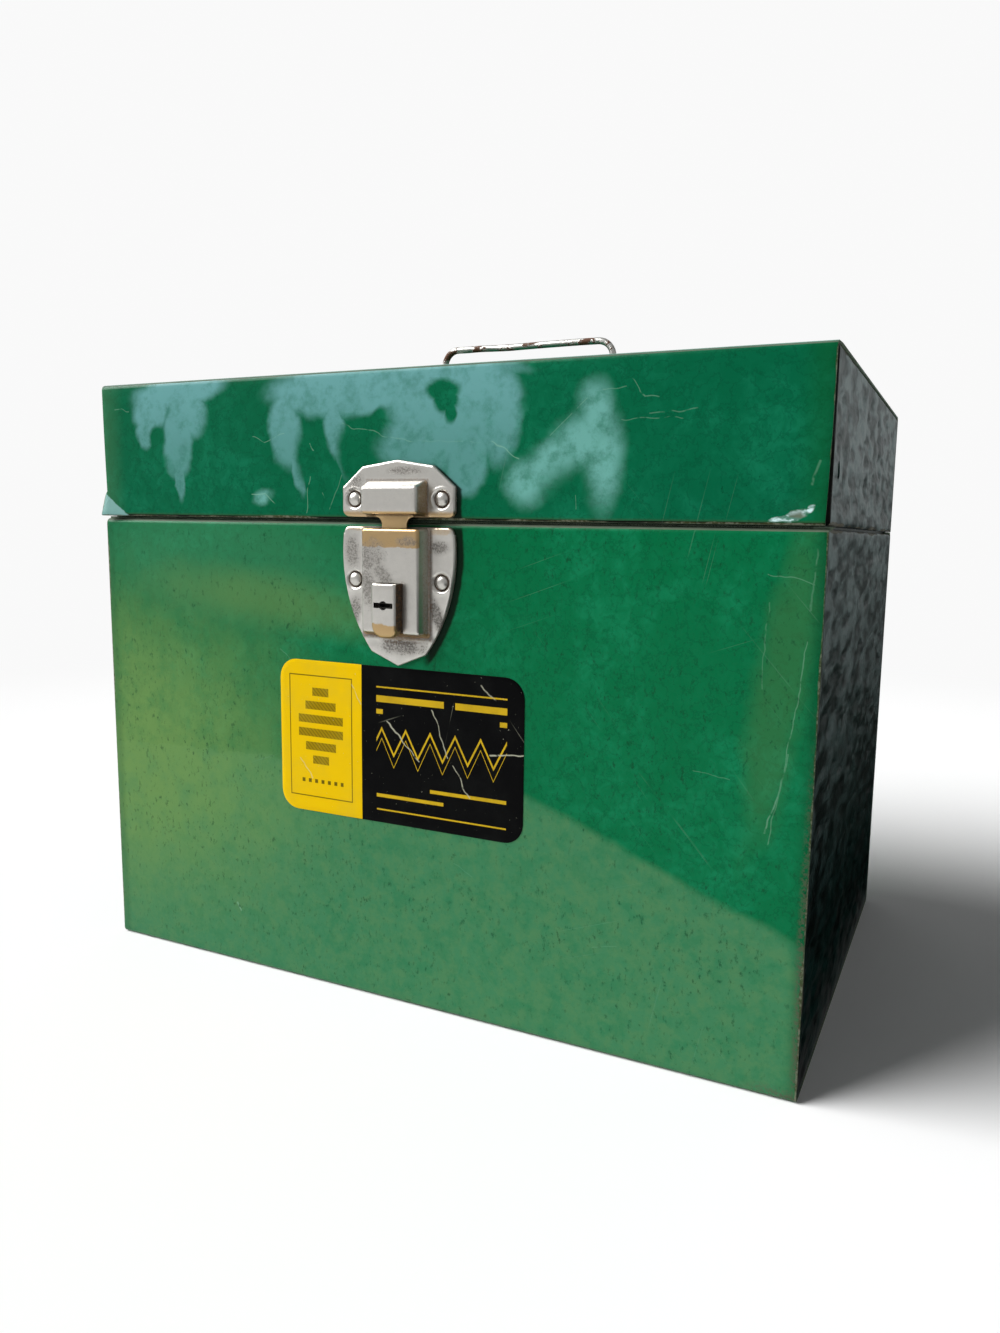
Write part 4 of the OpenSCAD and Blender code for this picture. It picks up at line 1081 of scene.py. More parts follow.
def copy_of(node, name, soft, segments=2, angle=28):
    """A clean copy of a frame node with its sharp edges rounded by soft"""
    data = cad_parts[node].data.copy()
    data.name = name
    obj = bpy.data.objects.new(name, data)
    bpy.context.scene.collection.objects.link(obj)
    mesh = bmesh.new()
    mesh.from_mesh(data)
    bmesh.ops.remove_doubles(mesh, verts=mesh.verts, dist=2e-6)
    bmesh.ops.dissolve_limit(mesh, angle_limit=math.radians(0.5), verts=mesh.verts, edges=mesh.edges)
    limit = math.radians(angle)
    edges = [e for e in mesh.edges if len(e.link_faces) == 2 and e.calc_face_angle(0) > limit]
    if soft:
        bmesh.ops.bevel(mesh, geom=edges, offset=soft, offset_type="OFFSET", segments=segments, profile=0.5,
                        affect="EDGES", clamp_overlap=True)
    mesh.to_mesh(data)
    mesh.free()
    return obj


def spread(low, high, gap):
    """Evenly spaced values from low to high, no further apart than gap"""
    n = max(1, math.ceil(abs(high - low) / gap))
    return [low + (high - low) * i / n for i in range(n + 1)]


def arc(centre, radius, start, end, n):
    """Points on an arc, angles in degrees"""
    return [(centre[0] + radius * math.cos(math.radians(a)), centre[1] + radius * math.sin(math.radians(a)))
            for a in spread(start, end, abs(end - start) / n)]


def fade(value, low, high):
    """Smooth step from 0 at low to 1 at high"""
    s = min(1.0, max(0.0, (value - low) / (high - low)))
    return s * s * (3 - 2 * s)


def wave(a, b, size, seed):
    return noise.noise(Vector((a / size, b / size, seed)))


def front_dent(x, z):
    """How far the front is pushed out, in metres: shallow waves that die out at the edges and at the lock"""
    edge = fade(min(HALF_W - abs(x), abs(z - BODY_TOP), abs(z - LID_BOTTOM), TOP - z, z), 0.004, 0.03)
    lock = fade(math.hypot((x - LOCK_X) / 0.034, (z - 0.176) / 0.048), 0.85, 1.25)
    return (wave(x, z, 0.085, 3.1) * 0.30 + wave(x, z, 0.030, 7.7) * 0.06) * MM * edge * lock


def end_dent(y, z, side):
    """How far an end panel is pushed in, in metres: wide shallow lumps and small dimples"""
    ripple = option("deed_box").ripple
    lumps = noise.noise(Vector((y / 0.016, z / 0.0062, 11.0 + side)))
    small = noise.noise(Vector((y / 0.0085, z / 0.0040, 5.0 - side)))
    broad = wave(y, z, 0.045, 2.0 + side)
    dimple = fade(small, 0.05, 0.50)
    edge = fade(min(abs(y - FRONT), abs(BACK - y), abs(z), abs(z - BODY_TOP), abs(z - LID_BOTTOM),
                    abs(TOP - z)),
                0.0022, 0.010)
    return ripple * edge * max(0.0, 0.60 + lumps * 0.75 + broad * 0.35 + dimple * 0.70)


def folded_sheet(name, path, push, nudge, gap_x, thickness, body, slot_name, look, node):
    """A sheet folded along a path of (y, z), swept across the box; push moves a point along its normal"""
    xs = spread(-HALF_W, HALF_W, gap_x)
    rows = []
    for i, (y, z) in enumerate(path):
        before, after = path[max(i - 1, 0)], path[min(i + 1, len(path) - 1)]
        run = Vector((after[0] - before[0], after[1] - before[1])).normalized()
        normal = Vector((0, -run.y, run.x))
        rows.append([Vector((x, y, z)) + normal * push(x, y, z) + nudge(x, y, z) for x in xs])
    obj = mesh_object(name, *grid(rows))
    thicken(obj, thickness)
    return place(obj, body, slot_name, look, node)


def stay(x, y, z):
    return Vector()


def lid_front(x, y, z):
    """The lid's front: its ends drawn in towards the hem, a bent lower left corner, a crease at the right"""
    if y > FRONT + 6 * MM:
        return Vector()
    low = 1 - (z - LID_BOTTOM) / (TOP - LID_BOTTOM)
    drawn = (0.35 + 0.95 * low * low) * MM * fade(abs(x), HALF_W - 4.5 * MM, HALF_W)
    bend = (x - BEND_AT[0]) * BEND_OUT[0] + (z - BEND_AT[1]) * BEND_OUT[1]
    flare = max(0.0, bend) * 0.34
    crease = math.exp(-(((x - 145.5 * MM) / (5.5 * MM)) ** 2) - ((z - LID_BOTTOM - 3.5 * MM) / (2.2 * MM)) ** 2)
    across = min(flare, 0.3 * MM) * 0.7 if flare else -math.copysign(drawn, x)
    return Vector((across, 0.6 * MM * crease - min(flare, 3 * MM), 0))


class DEEDBOX_OT_body_shell(bpy.types.Operator):
    """Folded sheet of the body: front, bottom and back"""
    bl_idname = "deedbox.body_shell"
    bl_label = "Body shell"

    def execute(self, context):
        box = option("deed_box")
        r, inset = box.fold, RIM_LO.x + HALF_W
        low, high = BODY_LO.z, BODY_TOP
        path = [(FRONT + inset, high), (FRONT + r, high)] + arc((FRONT + r, high - r), r, 90, 180, 6)[1:]
        path += [(FRONT, z) for z in spread(high - r, low + r, 0.0034)[1:]]
        path += arc((FRONT + r, low + r), r, 180, 270, 6)[1:]
        path += [(y, low) for y in spread(FRONT + r, BACK - r, 0.008)[1:]]
        path += arc((BACK - r, low + r), r, 270, 360, 6)[1:]
        path += [(BACK, z) for z in spread(low + r, high - r, 0.006)[1:]]
        path += arc((BACK - r, high - r), r, 0, 90, 6)[1:] + [(BACK - inset, high)]

        def push(x, y, z):
            if y < FRONT + 1e-5:
                return front_dent(x, z)
            if y > BACK - 1e-5:
                return -abs(front_dent(x + 0.4, z)) * 0.8
            return 0.0

        look = enamel("green enamel body", tuple(box.green), BODY_LO, BODY_HI,
                      lambda t, z: t.step(z, BODY_LO.z + 0.00035, BODY_LO.z + 0.0005), body_marks)
        folded_sheet("body_shell", path, push, stay, 0.0034, box.sheet, "box", "green_enamel_body", look,
                     "body_wrapper")
        return {"FINISHED"}


class DEEDBOX_OT_lid_shell(bpy.types.Operator):
    """Folded sheet of the lid: hem, front, top and back"""
    bl_idname = "deedbox.lid_shell"
    bl_label = "Lid shell"

    def execute(self, context):
        box = option("deed_box")
        r, s = box.fold, box.sheet
        hem = 0.007
        path = [(FRONT + 2 * s, z) for z in spread(LID_BOTTOM + hem, LID_BOTTOM + s, 0.0016)]
        path += arc((FRONT + s, LID_BOTTOM + s), s, 360, 180, 8)[1:]
        path += [(FRONT, z) for z in spread(LID_BOTTOM + s, TOP - r, 0.0020)[1:]]
        path += arc((FRONT + r, TOP - r), r, 180, 90, 6)[1:]
        path += [(y, TOP) for y in spread(FRONT + r, BACK - r, 0.005)[1:]]
        path += arc((BACK - r, TOP - r), r, 90, 0, 6)[1:]
        path += [(BACK, z) for z in spread(TOP - r, LID_BOTTOM, 0.006)[1:]]

        def push(x, y, z):
            if y < FRONT + 1e-5:
                return -front_dent(x, z)
            if z > TOP - 1e-5:
                edge = fade(min(HALF_W - abs(x), y - FRONT, BACK - y), 0.004, 0.04)
                return min(0.0, wave(x, y, 0.09, 9.2) * 0.45 - 0.15) * MM * edge
            if y > BACK - 1e-5:
                return abs(front_dent(x + 0.2, z)) * 0.8
            return 0.0

        look = enamel("green enamel lid", tuple(box.lid_green), LID_LO, LID_HI,
                      lambda t, z: t.step(z, LID_HI.z - 0.00035, LID_HI.z - 0.0005), lid_marks)
        folded_sheet("lid_shell", path, push, lid_front, 0.0030, s * 0.97, "lid", "green_enamel_lid", look,
                     "lid_wrapper")
        return {"FINISHED"}


def pan(name, side, y_lo, y_hi, z_lo, z_hi, bend, flange, low_flange, high_flange):
    """An end panel with bent flanges; bend is their outer radius"""
    def track(a, b, first, last, gap):
        """Stations (core place, bend angle, flange depth) from one flange, over the panel, to the other"""
        core_lo, core_hi = a + bend, b - bend
        made = [(core_lo, -90, d) for d in spread(first, bend, 0.003)] if first > bend else []
        made += [(core_lo, g, 0) for g in spread(-90, 0, 18)[:-1]] if first else [(a, 0, 0)]
        made += [(v, 0, 0) for v in spread(core_lo, core_hi, gap)]
        made += [(core_hi, g, 0) for g in spread(0, 90, 18)[1:]] if last else [(b, 0, 0)]
        made += [(core_hi, 90, d) for d in spread(bend, last, 0.003)] if last > bend else []
        return made

    us = track(y_lo, y_hi, flange, flange, 0.0026)
    vs = track(z_lo, z_hi, low_flange, high_flange, 0.0014)
    rows = []
    for cu, au, fu in us:
        row = []
        for cv, av, fv in vs:
            ca, sa = math.cos(math.radians(au)), math.sin(math.radians(au))
            cb, sb = math.cos(math.radians(av)), math.sin(math.radians(av))
            n = Vector((ca * cb, sa, sb)).normalized()
            depth = bend - bend * n.x + max(0.0, max(fu, fv) - bend)
            if not (au or av):
                depth += end_dent(cu, cv, side)
            row.append(Vector((side * (HALF_W - depth), cu + bend * n.y, cv + bend * n.z)))
        rows.append(row)

    def skip(i, j):
        return max(us[i][2], us[i + 1][2]) > 0 and max(vs[j][2], vs[j + 1][2]) > 0

    return mesh_object(name, *grid(rows, skip))


class DEEDBOX_OT_end_panels(bpy.types.Operator):
    """Rippled end panels of the body and the lid"""
    bl_idname = "deedbox.end_panels"
    bl_label = "End panels"

    def execute(self, context):
        box = option("deed_box")
        s = box.sheet
        inset = RIM_LO.x + HALF_W
        body_look = end_enamel("dark enamel body end", Vector((BODY_LO.x, FRONT + s, s)),
                               Vector((BODY_HI.x, BACK - s, BODY_TOP)))
        lid_look = end_enamel("dark enamel lid end", Vector((LID_LO.x, FRONT + s, LID_BOTTOM)),
                              Vector((LID_HI.x, BACK - s, TOP - s)))
        for side, word in ((-1, "left"), (1, "right")):
            body = pan("body_end_" + word, side, FRONT + s, BACK - s, s, BODY_TOP, 0.0013, 0.009, 0.009,
                       inset)
            thicken(body, s)
            place(body, "box", "dark_enamel_ends", body_look, "body_side_" + word)
            lid = pan("lid_end_" + word, side, FRONT + s, BACK - s, LID_BOTTOM, TOP - s, 0.0015, 0.009,
                      0.0020, 0.009)
            thicken(lid, s)
            ring = [(FRONT + 0.015 + 0.0029 * math.cos(a / 32 * math.tau),
                     LID_BOTTOM + 0.018 + 0.0029 * math.sin(a / 32 * math.tau)) for a in range(32)]
            cut(lid,
                prism(ring, side * (HALF_W - 0.004), side * (HALF_W + 0.001), lambda u, v, d: Vector((d, u, v))))
            place(lid, "lid", "dark_enamel_ends", lid_look, "lid_side_" + word)
        return {"FINISHED"}


# Lock

def shield_outline():
    """Outline of the lower plate, counter-clockwise, as (across, up)"""
    half, r = SHIELD_HALF, SHIELD_ROUND
    top, widest, low = SHIELD_HI.z, SHIELD_WIDEST_Z, SHIELD_LO.z
    facet_z = low + 0.005
    side = [(half - r + math.sqrt(r * r - (z - widest) ** 2), z) for z in spread(facet_z, top - 0.0026, 0.0005)]
    top_half = half - 0.0008
    corner = arc((top_half - 0.0025, top - 0.0025), 0.0025, 0, 90, 8)
    right = [p for p in side if p[0] <= half] + corner
    bottom = [(x, low + (facet_z - low) * x / 0.0123) for x in spread(0.0, 0.0123, 0.0006)]
    gap = spread(0.0123, right[0][0], 0.0006)
    right = bottom + [(x, facet_z) for x in gap[1:-1]] + right
    top_run = [(x, top) for x in spread(top_half - 0.0025, 0, 0.0008)[1:]]
    half_line = right + top_run
    return half_line + [(-x, z) for x, z in reversed(half_line[1:-1])]


def strike_outline():
    """Outline of the upper plate, counter-clockwise"""
    low, half = STRIKE_LO.z, 0.0250
    corners = [(0, STRIKE_HI.z), (0.0157, STRIKE_HI.z - 0.0023), (half, low + 0.0113)]
    line = arc((half - 0.003, low + 0.003), 0.003, 270, 360, 8)
    line = [(x, low) for x in spread(0, half - 0.003, 0.0006)[:-1]] + line
    for a, b in ((line[-1], corners[2]), (corners[2], corners[1]), (corners[1], corners[0])):
        n = len(spread(0, math.dist(a, b), 0.0004)) - 1
        line += [(a[0] + (b[0] - a[0]) * i / n, a[1] + (b[1] - a[1]) * i / n) for i in range(1, n + 1)]
    return line + [(-x, z) for x, z in reversed(line[1:-1])]


def pressed_plate(name, outline, centre, thickness, edge, rivets, raised=None):
    """A plate over a star-shaped outline, with rounded edges, a hollow round each rivet and raised areas"""
    ring = np.array(outline)
    n = len(ring)
    spans = np.roll(ring, -1, 0) - ring
    sizes = (spans ** 2).sum(1)
    fractions = [0.0] + [i / 44 for i in range(1, 41)] + [0.935, 0.955, 0.97, 0.982, 0.991, 0.997, 1.0]

    def border(p):
        along = np.clip(((p - ring) * spans).sum(1) / sizes, 0, 1)
        return float(np.sqrt(((ring + along[:, None] * spans - p) ** 2).sum(1).min()))

    def height(p, d):
        drop = edge - math.sqrt(max(0.0, edge * edge - max(0.0, edge - d) ** 2))
        h = thickness - min(drop, thickness * 0.85)
        for rx, rz in rivets:
            away = math.hypot(p[0] - rx, p[1] - rz)
            h -= 0.0008 * (1 - fade(away, 0.0029, 0.0038))
            h += 0.00014 * math.exp(-((away - 0.0042) / 0.0005) ** 2)
        if raised:
            h += raised(p[0], p[1])
        h += wave(p[0], p[1], 0.009, 4.0) * 0.00006
        return h

    rows = []
    for f in fractions[1:]:
        row = []
        for q in outline:
            p = np.array((centre[0] + (q[0] - centre[0]) * f, centre[1] + (q[1] - centre[1]) * f))
            row.append(front_point(p[0], p[1], height(p, border(p))))
        rows.append(row)
    rows.append([front_point(q[0], q[1], 0.0) for q in outline])
    points, faces = grid(rows, loop=True)
    points.append(front_point(centre[0], centre[1], height(np.array(centre), border(np.array(centre)))))
    faces += [(len(points) - 1, j, (j + 1) % n) for j in range(n)]
    last = (len(rows) - 1) * n
    faces.append(tuple(last + j for j in range(n)))
    return mesh_object(name, points, faces)


def rounded_ring(x0, x1, z0, z1, r, out, n=6):
    """A rectangle with round corners at one depth"""
    ring = []
    for cx, cz, start in ((x1 - r, z0 + r, 270), (x1 - r, z1 - r, 0), (x0 + r, z1 - r, 90),
                          (x0 + r, z0 + r, 180)):
        ring += [front_point(u, v, out) for u, v in arc((cx, cz), r, start, start + 90, n)]
    return ring


def pressed_cover(name, half, low, high, base, out, lean, nose, wall, corner=0.0013,
                  flange=(0.0008, 0.0005, 0.0)):
    """A hollow pressed box with a small flange, leaning walls and a front edge of radius nose;
    lean and flange are for the sides, the low wall and the high wall"""
    lip = 0.00028
    start = base + lip * 2.2

    def ring(offsets, inset, depth):
        return rounded_ring(-half + offsets[0] + inset, half - offsets[0] - inset,
                            low + offsets[1] + inset, high - offsets[2] - inset,
                            max(corner - inset * 0.4, 0.0004), depth)

    def leaning(k):
        return tuple(f + (d - f) * k for f, d in zip(flange, lean))

    none = (0.0, 0.0, 0.0)
    outer = [ring(none, 0, base), ring(none, 0, base + lip * 0.6)]
    outer += [ring(tuple(f * k for f in flange), 0, base + lip * h) for k,
              h in ((0.12, 1), (0.72, 1), (0.94, 1.4))]
    outer += [ring(leaning(i / 6), 0, start + (out - nose - start) * i / 5) for i in range(6)]
    for i in range(1, 8):
        a = math.radians(90 * i / 7)
        outer.append(ring(leaning(5 / 6 + i / 42), nose * (1 - math.cos(a)), out - nose + nose * math.sin(a)))
    outer.append(ring(lean, nose + 0.0012, out))
    inner = [ring(leaning(k), wall, base + (out - wall - base) * k) for k in (0.97, 0.75, 0.5, 0.25, 0.0)]
    inner.insert(0, ring(lean, wall + 0.0002, out - wall))
    rings = inner + outer
    points, faces = grid(rings, loop=True)
    n = len(rings[0])
    last = (len(rings) - 1) * n
    faces += [tuple(last + j for j in range(n)), tuple(n - 1 - j for j in range(n))]
    return mesh_object(name, points, faces)


def thumb_hood(name, half, low, high, back, out, edge):
    """The hood of the thumb piece: a rounded nose at its foot and round side edges of radius edge"""
    r = (out - back) / 2
    insets = [(-half + edge * (1 - math.sin(a)), edge * (1 - math.cos(a))) for a in
              (math.radians(v) for v in range(90, -1, -15))]
    insets = insets + [(u, 0.0) for u in spread(-half + edge, half - edge, 0.0012)[1:-1]]
    insets += [(-u, i) for u, i in reversed(insets[:7])]
    rows = []
    foot, base = 0.0044, low
    for u, inset in insets:
        front, nose = out - inset, r - inset
        low = base + foot - math.sqrt(foot * foot - max(0.0, abs(u) - (half - foot)) ** 2)
        row = [front_point(u, high, front - 0.0006), front_point(u, high - 0.0002, front - 0.00015)]
        row += [front_point(u, high - 0.0008 + (low + r - high + 0.0008) * k / 12, front) for k in range(13)]
        row += [front_point(u, low + r - nose * math.sin(a), out - r + nose * math.cos(a))
                for a in (math.radians(v) for v in range(15, 181, 15))]
        rows.append(row)
    points, faces = grid(rows)
    n = len(rows[0])
    for start, u in ((0, insets[0][0]), ((len(rows) - 1) * n, insets[-1][0])):
        corner = len(points)
        points.append(front_point(u, high, back))
        faces.append(tuple(start + j for j in range(n)) + (corner,))
    return mesh_object(name, points, faces)


def box_cutter(x0, x1, z0, z1, out0, out1):
    return prism([(x0, z0), (x1, z0), (x1, z1), (x0, z1)], out0, out1, lambda u, v, d: front_point(u, v, d))


def rivet_heads(name, places, radius, rise, shank, depth):
    """Domed rivets; places are (head centre, outward direction)"""
    profile = [(0.0, rise)] + [(radius * math.sin(a), rise * math.cos(a) ** 0.8)
                               for a in (math.radians(v) for v in range(10, 81, 10))]
    profile += [(radius, rise * 0.14), (radius * 1.01, 0.00005), (radius * 0.97, -0.00002), (shank, -0.00002),
                (shank, -depth), (radius * 0.85, -depth), (radius * 0.80, -depth - 0.0006), (0.0, -depth - 0.0007)]
    n = 28
    points, faces = [], []
    for centre, outward in places:
        turn = outward.to_track_quat("Z", "Y").to_matrix()
        start = len(points)
        rows = [[centre + turn @ Vector((r * math.cos(a / n * math.tau), r * math.sin(a / n * math.tau), h))
                 for a in range(n)] for r, h in profile[1:-1]]
        p, f = grid(rows, loop=True)
        points += p + [centre + turn @ Vector((0, 0, profile[0][1])),
                       centre + turn @ Vector((0, 0, profile[-1][1]))]
        faces += [tuple(start + v for v in face) for face in f]
        top, bottom, last = start + len(p), start + len(p) + 1, start + (len(rows) - 1) * n
        faces += [(top, start + j, start + (j + 1) % n) for j in range(n)]
        faces += [(bottom, last + (j + 1) % n, last + j) for j in range(n)]
    return mesh_object(name, points, faces)


class DEEDBOX_OT_lock_plates(bpy.types.Operator):
    """The two riveted plates of the lock and their rivets"""
    bl_idname = "deedbox.lock_plates"
    bl_label = "Lock plates"

    def execute(self, context):
        lock = option("deed_lock")
        plate_look = nickel_plate("nickel lower plate", plate_worn, plate_shade_and_dirt, plate_smudge)
        strike_look = nickel_plate("nickel upper plate", strike_band, strike_shade_and_dirt, strike_smudge)
        low, high, half = CASE_LO.z - 0.0012, CASE_HI.z + 0.0004, 0.0158

        def pad(x, z):
            inside = min(half - abs(x), z - low, high - z)
            return 0.0004 * fade(inside, -0.0003, 0.0003)

        thickness = 0.0014
        lower = pressed_plate("lower_plate", shield_outline(), (0.0, SHIELD_HI.z - 0.022), thickness,
                              lock.round_edge, [(-RIVET_GAP, LATCH_RIVET_Z), (RIVET_GAP, LATCH_RIVET_Z)], pad)
        place(lower, "box", "nickel_plate", plate_look, "latch_plate", angle=50)
        upper = pressed_plate("upper_plate", strike_outline(), (0.0, STRIKE_LO.z + 0.0085), thickness,
                              lock.round_edge, [(-RIVET_GAP, STRIKE_RIVET_Z), (RIVET_GAP, STRIKE_RIVET_Z)])
        place(upper, "lid", "nickel_plate", strike_look, "strike_plate", angle=50)
        head = nickel_plate("nickel rivets", flat_worn=0.0)
        for name, body, z, node in (("lower_rivets", "box", LATCH_RIVET_Z, "latch_rivets"),
                                    ("upper_rivets", "lid", STRIKE_RIVET_Z, "strike_rivets")):
            spots = [(front_point(s * RIVET_GAP, z, thickness - 0.0008), Vector((0, -1, 0))) for s in (-1, 1)]
            heads = rivet_heads(name, spots, 0.0027, 0.0016, 0.0015, 0.0014)
            place(heads, body, "rivet_steel", head, node, angle=45)
        return {"FINISHED"}


class DEEDBOX_OT_lock_case(bpy.types.Operator):
    """The pressed case, the thumb piece, the tongue and the housing over its head"""
    bl_idname = "deedbox.lock_case"
    bl_label = "Lock case"

    def execute(self, context):
        wall = PRESSED_SHEET
        base, out = 0.0018, FRONT - CASE_LO.y
        thumb_half, slide_out, slide_front = 0.00585, 0.00475, 0.00545
        thumb_top = THUMB_LO.z + 0.0205
        case = pressed_cover("lock_case", 0.015, CASE_LO.z, CASE_HI.z, base, out, (0.0025, 0.0015, 0.0004),
                             0.0011, wall)
        cut(case,
            box_cutter(-thumb_half - 0.0001, thumb_half + 0.0001, CASE_LO.z - 0.002, thumb_top + 0.00015,
                             0.0046, out + 0.002),
            box_cutter(-0.0061, 0.0061, CASE_HI.z - 0.0014, CASE_HI.z + 0.001, base - 0.0005,
                       out - wall - 0.0002))
        place(case, "box", "nickel_plate", nickel_plate("nickel case", case_band, case_shade_and_dirt, case_smudge),
              "latch_case", angle=38)
        housing = pressed_cover("tongue_housing", HOUSING_HALF, HOUSING_LO.z, HOUSING_HI.z, 0.0014,
                                FRONT - HOUSING_LO.y,
                                (0.0011, 0.0008, 0.0024), 0.0011, wall, flange=(0.0004, 0.0002, 0.0004))
        mouth = 0.00865
        cut(housing, box_cutter(-mouth, mouth, HOUSING_LO.z - 0.002, HOUSING_LO.z + 0.0014, 0.0009, 0.0056))
        place(housing, "lid", "nickel_plate", nickel_plate("nickel housing", housing_band, housing_shade_and_dirt),
              "strike_housing", angle=38)
        tongue = copy_of("strike_tongue", "tongue", 0.00022)
        place(tongue, "lid", "nickel_plate", nickel_plate("nickel tongue", tongue_band, tongue_shade_and_dirt),
              "strike_tongue")
        thumb_look = nickel_plate("nickel thumb piece", thumb_band, thumb_shade_and_dirt)
        hood = thumb_hood("thumb_hood", thumb_half, THUMB_LO.z, thumb_top, slide_front, FRONT - THUMB_LO.y,
                          0.0018)
        thicken(hood, 0.8 * MM, edge=0.1 * MM)
        keyhole_z = CASE_LO.z + 0.0122
        round_part = [(0.0017 * math.cos(a), keyhole_z + 0.0017 * math.sin(a))
                      for a in (math.tau * k / 32 for k in range(32))]
        cut(hood, prism(round_part, FRONT - THUMB_LO.y - 0.002, FRONT - THUMB_LO.y + 0.001, front_point),
            box_cutter(-0.0042, 0.0042, keyhole_z - 0.001, keyhole_z + 0.001, FRONT - THUMB_LO.y - 0.002,
                       FRONT - THUMB_LO.y + 0.001))
        place(hood, "thumb_piece", "nickel_plate", thumb_look, "thumb_slide", angle=40)
        runner = copy_of("thumb_slide", "thumb_runner", 0)
        cut(runner,
            box_cutter(-0.02, 0.02, THUMB_LO.z - 0.01, THUMB_HI.z + 0.01, slide_front - 0.00001, 0.02),
            box_cutter(-0.02, 0.02, THUMB_LO.z - 0.01, CASE_LO.z + 0.0074, slide_out - 0.001,
                       slide_front + 0.001))
        place(runner, "thumb_piece", "nickel_plate", thumb_look, "thumb_slide", angle=40)
        spring = copy_of("catch_spring", "catch_leaf", 0)
        lie_flat(spring, 0.002)
        place(spring, "box", "dark_steel", steel("spring steel", (0.30, 0.29, 0.27), 0.35, 0.75),
              "catch_spring")
        # The barrel is near black, a painted shade that makes the keyhole dark
        plug = copy_of("lock_plug", "lock_barrel_piece", 0.0002)
        place(plug, "lock_barrel", "dark_steel", steel("barrel steel", (0.030, 0.028, 0.025), 0.50, 0.70),
              "lock_plug")
        return {"FINISHED"}


class DEEDBOX_OT_bail(bpy.types.Operator):
    """The wire bail, its two clips and their rivets"""
    bl_idname = "deedbox.bail"
    bl_label = "Bail"

    def execute(self, context):
        bail = option("deed_bail")
        r = 0.0015
        half = 0.0445 - r
        low, high = BAIL_LO.z + r, BAIL_HI.z - r
        end = BAIL_HI.x
        bend, foot = 0.007, 0.0032
        right = [(end, low), (half + foot, low)] + \
            [(half + foot - foot * math.sin(a), low + foot - foot * math.cos(a))
             for a in (math.radians(v) for v in range(15, 91, 15))]
        right += [(half, z) for z in spread(low + foot, high - bend, 0.003)[1:]]
        right += arc((half - bend, high - bend), bend, 0, 90, 8)[1:]
        right += [(x, high) for x in spread(half - bend, 0.0, 0.003)[1:]]
        line = right + [(-x, z) for x, z in reversed(right[:-1])]
        n = 16
        rows = []
        for i, (x, z) in enumerate(line):
            a, b = line[max(i - 1, 0)], line[min(i + 1, len(line) - 1)]
            run = Vector((b[0] - a[0], 0, b[1] - a[1])).normalized()
            side = Vector((0, 1, 0))
            up = run.cross(side)
            free = fade(z, low + 0.004, low + 0.012)
            sway = Vector((0, wave(x, z, 0.03, 1.0) * 0.00018, -abs(wave(x, z, 0.022, 6.0)) * 0.0005)) * free
            size = min(r, r * (1 + 0.03 * wave(x, z, 0.002, 8.0) * free))
            turns = [k / n * math.tau for k in range(n)]
            rows.append([Vector((x, 0,
                                 z)) + sway + (side * math.cos(a) + up * math.sin(a)) * size for a in turns])
        points, faces = grid(rows, loop=True)
        faces += [tuple(range(n)), tuple(reversed(range(len(points) - n, len(points))))]
        wire = mesh_object("wire_bail", points, faces)
        wire_look = steel("bail wire", tuple(bail.plating), 0.30, 0.525, tuple(bail.rust), size=105.0)
        place(wire, "handle", "bail_wire", wire_look, "bail_handle", angle=50)
        clip_look = steel("clip steel", (0.55, 0.54, 0.50), 0.28, 0.60, tuple(bail.rust))
        for word in ("left", "right"):
            clip = copy_of("handle_clip_" + word, "bail_clip_" + word, 0.00022)
            place(clip, "lid", "clip_steel", clip_look, "handle_clip_" + word, angle=40)
        clip_lo, clip_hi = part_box("handle_clip_right")
        x = (clip_lo.x + clip_hi.x) / 2
        spots = [(Vector((s * x, e * 0.0075, TOP + 0.001)), Vector((0, 0, 1))) for s in (-1, 1) for e in (-1, 1)]
        heads = rivet_heads("bail_rivets", spots, 0.0027, 0.0016, 0.0015, 0.0018)
        place(heads, "lid", "rivet_steel", steel("bail rivet steel", (0.58, 0.56, 0.53), 0.26, 0.62),
              "handle_rivets", angle=45)
        return {"FINISHED"}


class DEEDBOX_OT_hinge(bpy.types.Operator):
    """The continuous hinge at the back, and the rim inside the mouth"""
    bl_idname = "deedbox.hinge"
    bl_label = "Hinge and rim"

    def execute(self, context):
        box = option("deed_box")
        lo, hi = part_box("hinge_leaf_body")
        look = enamel("green enamel hinge", tuple(c * 0.9 for c in box.green), lo, hi,
                      lambda t, z: t.times(z, 0.0), plain_marks)
        for node, name, body in (("hinge_leaf_body", "hinge_lower_leaf", "box"),
                                 ("hinge_leaf_lid", "hinge_upper_leaf", "lid")):
            leaf = copy_of(node, name, 0.00018)
            place(leaf, body, "hinge_steel", look, node, angle=30)
        dress("hinge_pin", steel("hinge pin steel", (0.35, 0.34, 0.32), 0.35, 0.62))
        rim = copy_of("mouth_rim", "mouth_collar", 0.00025)
        rim_look = enamel("green enamel rim", tuple(c * 0.85 for c in box.green), RIM_LO, RIM_HI,
                          lambda t, z: t.times(z, 0.0), rim_marks, 0.0010)
        place(rim, "box", "green_enamel_rim", rim_look, "mouth_rim")
        return {"FINISHED"}


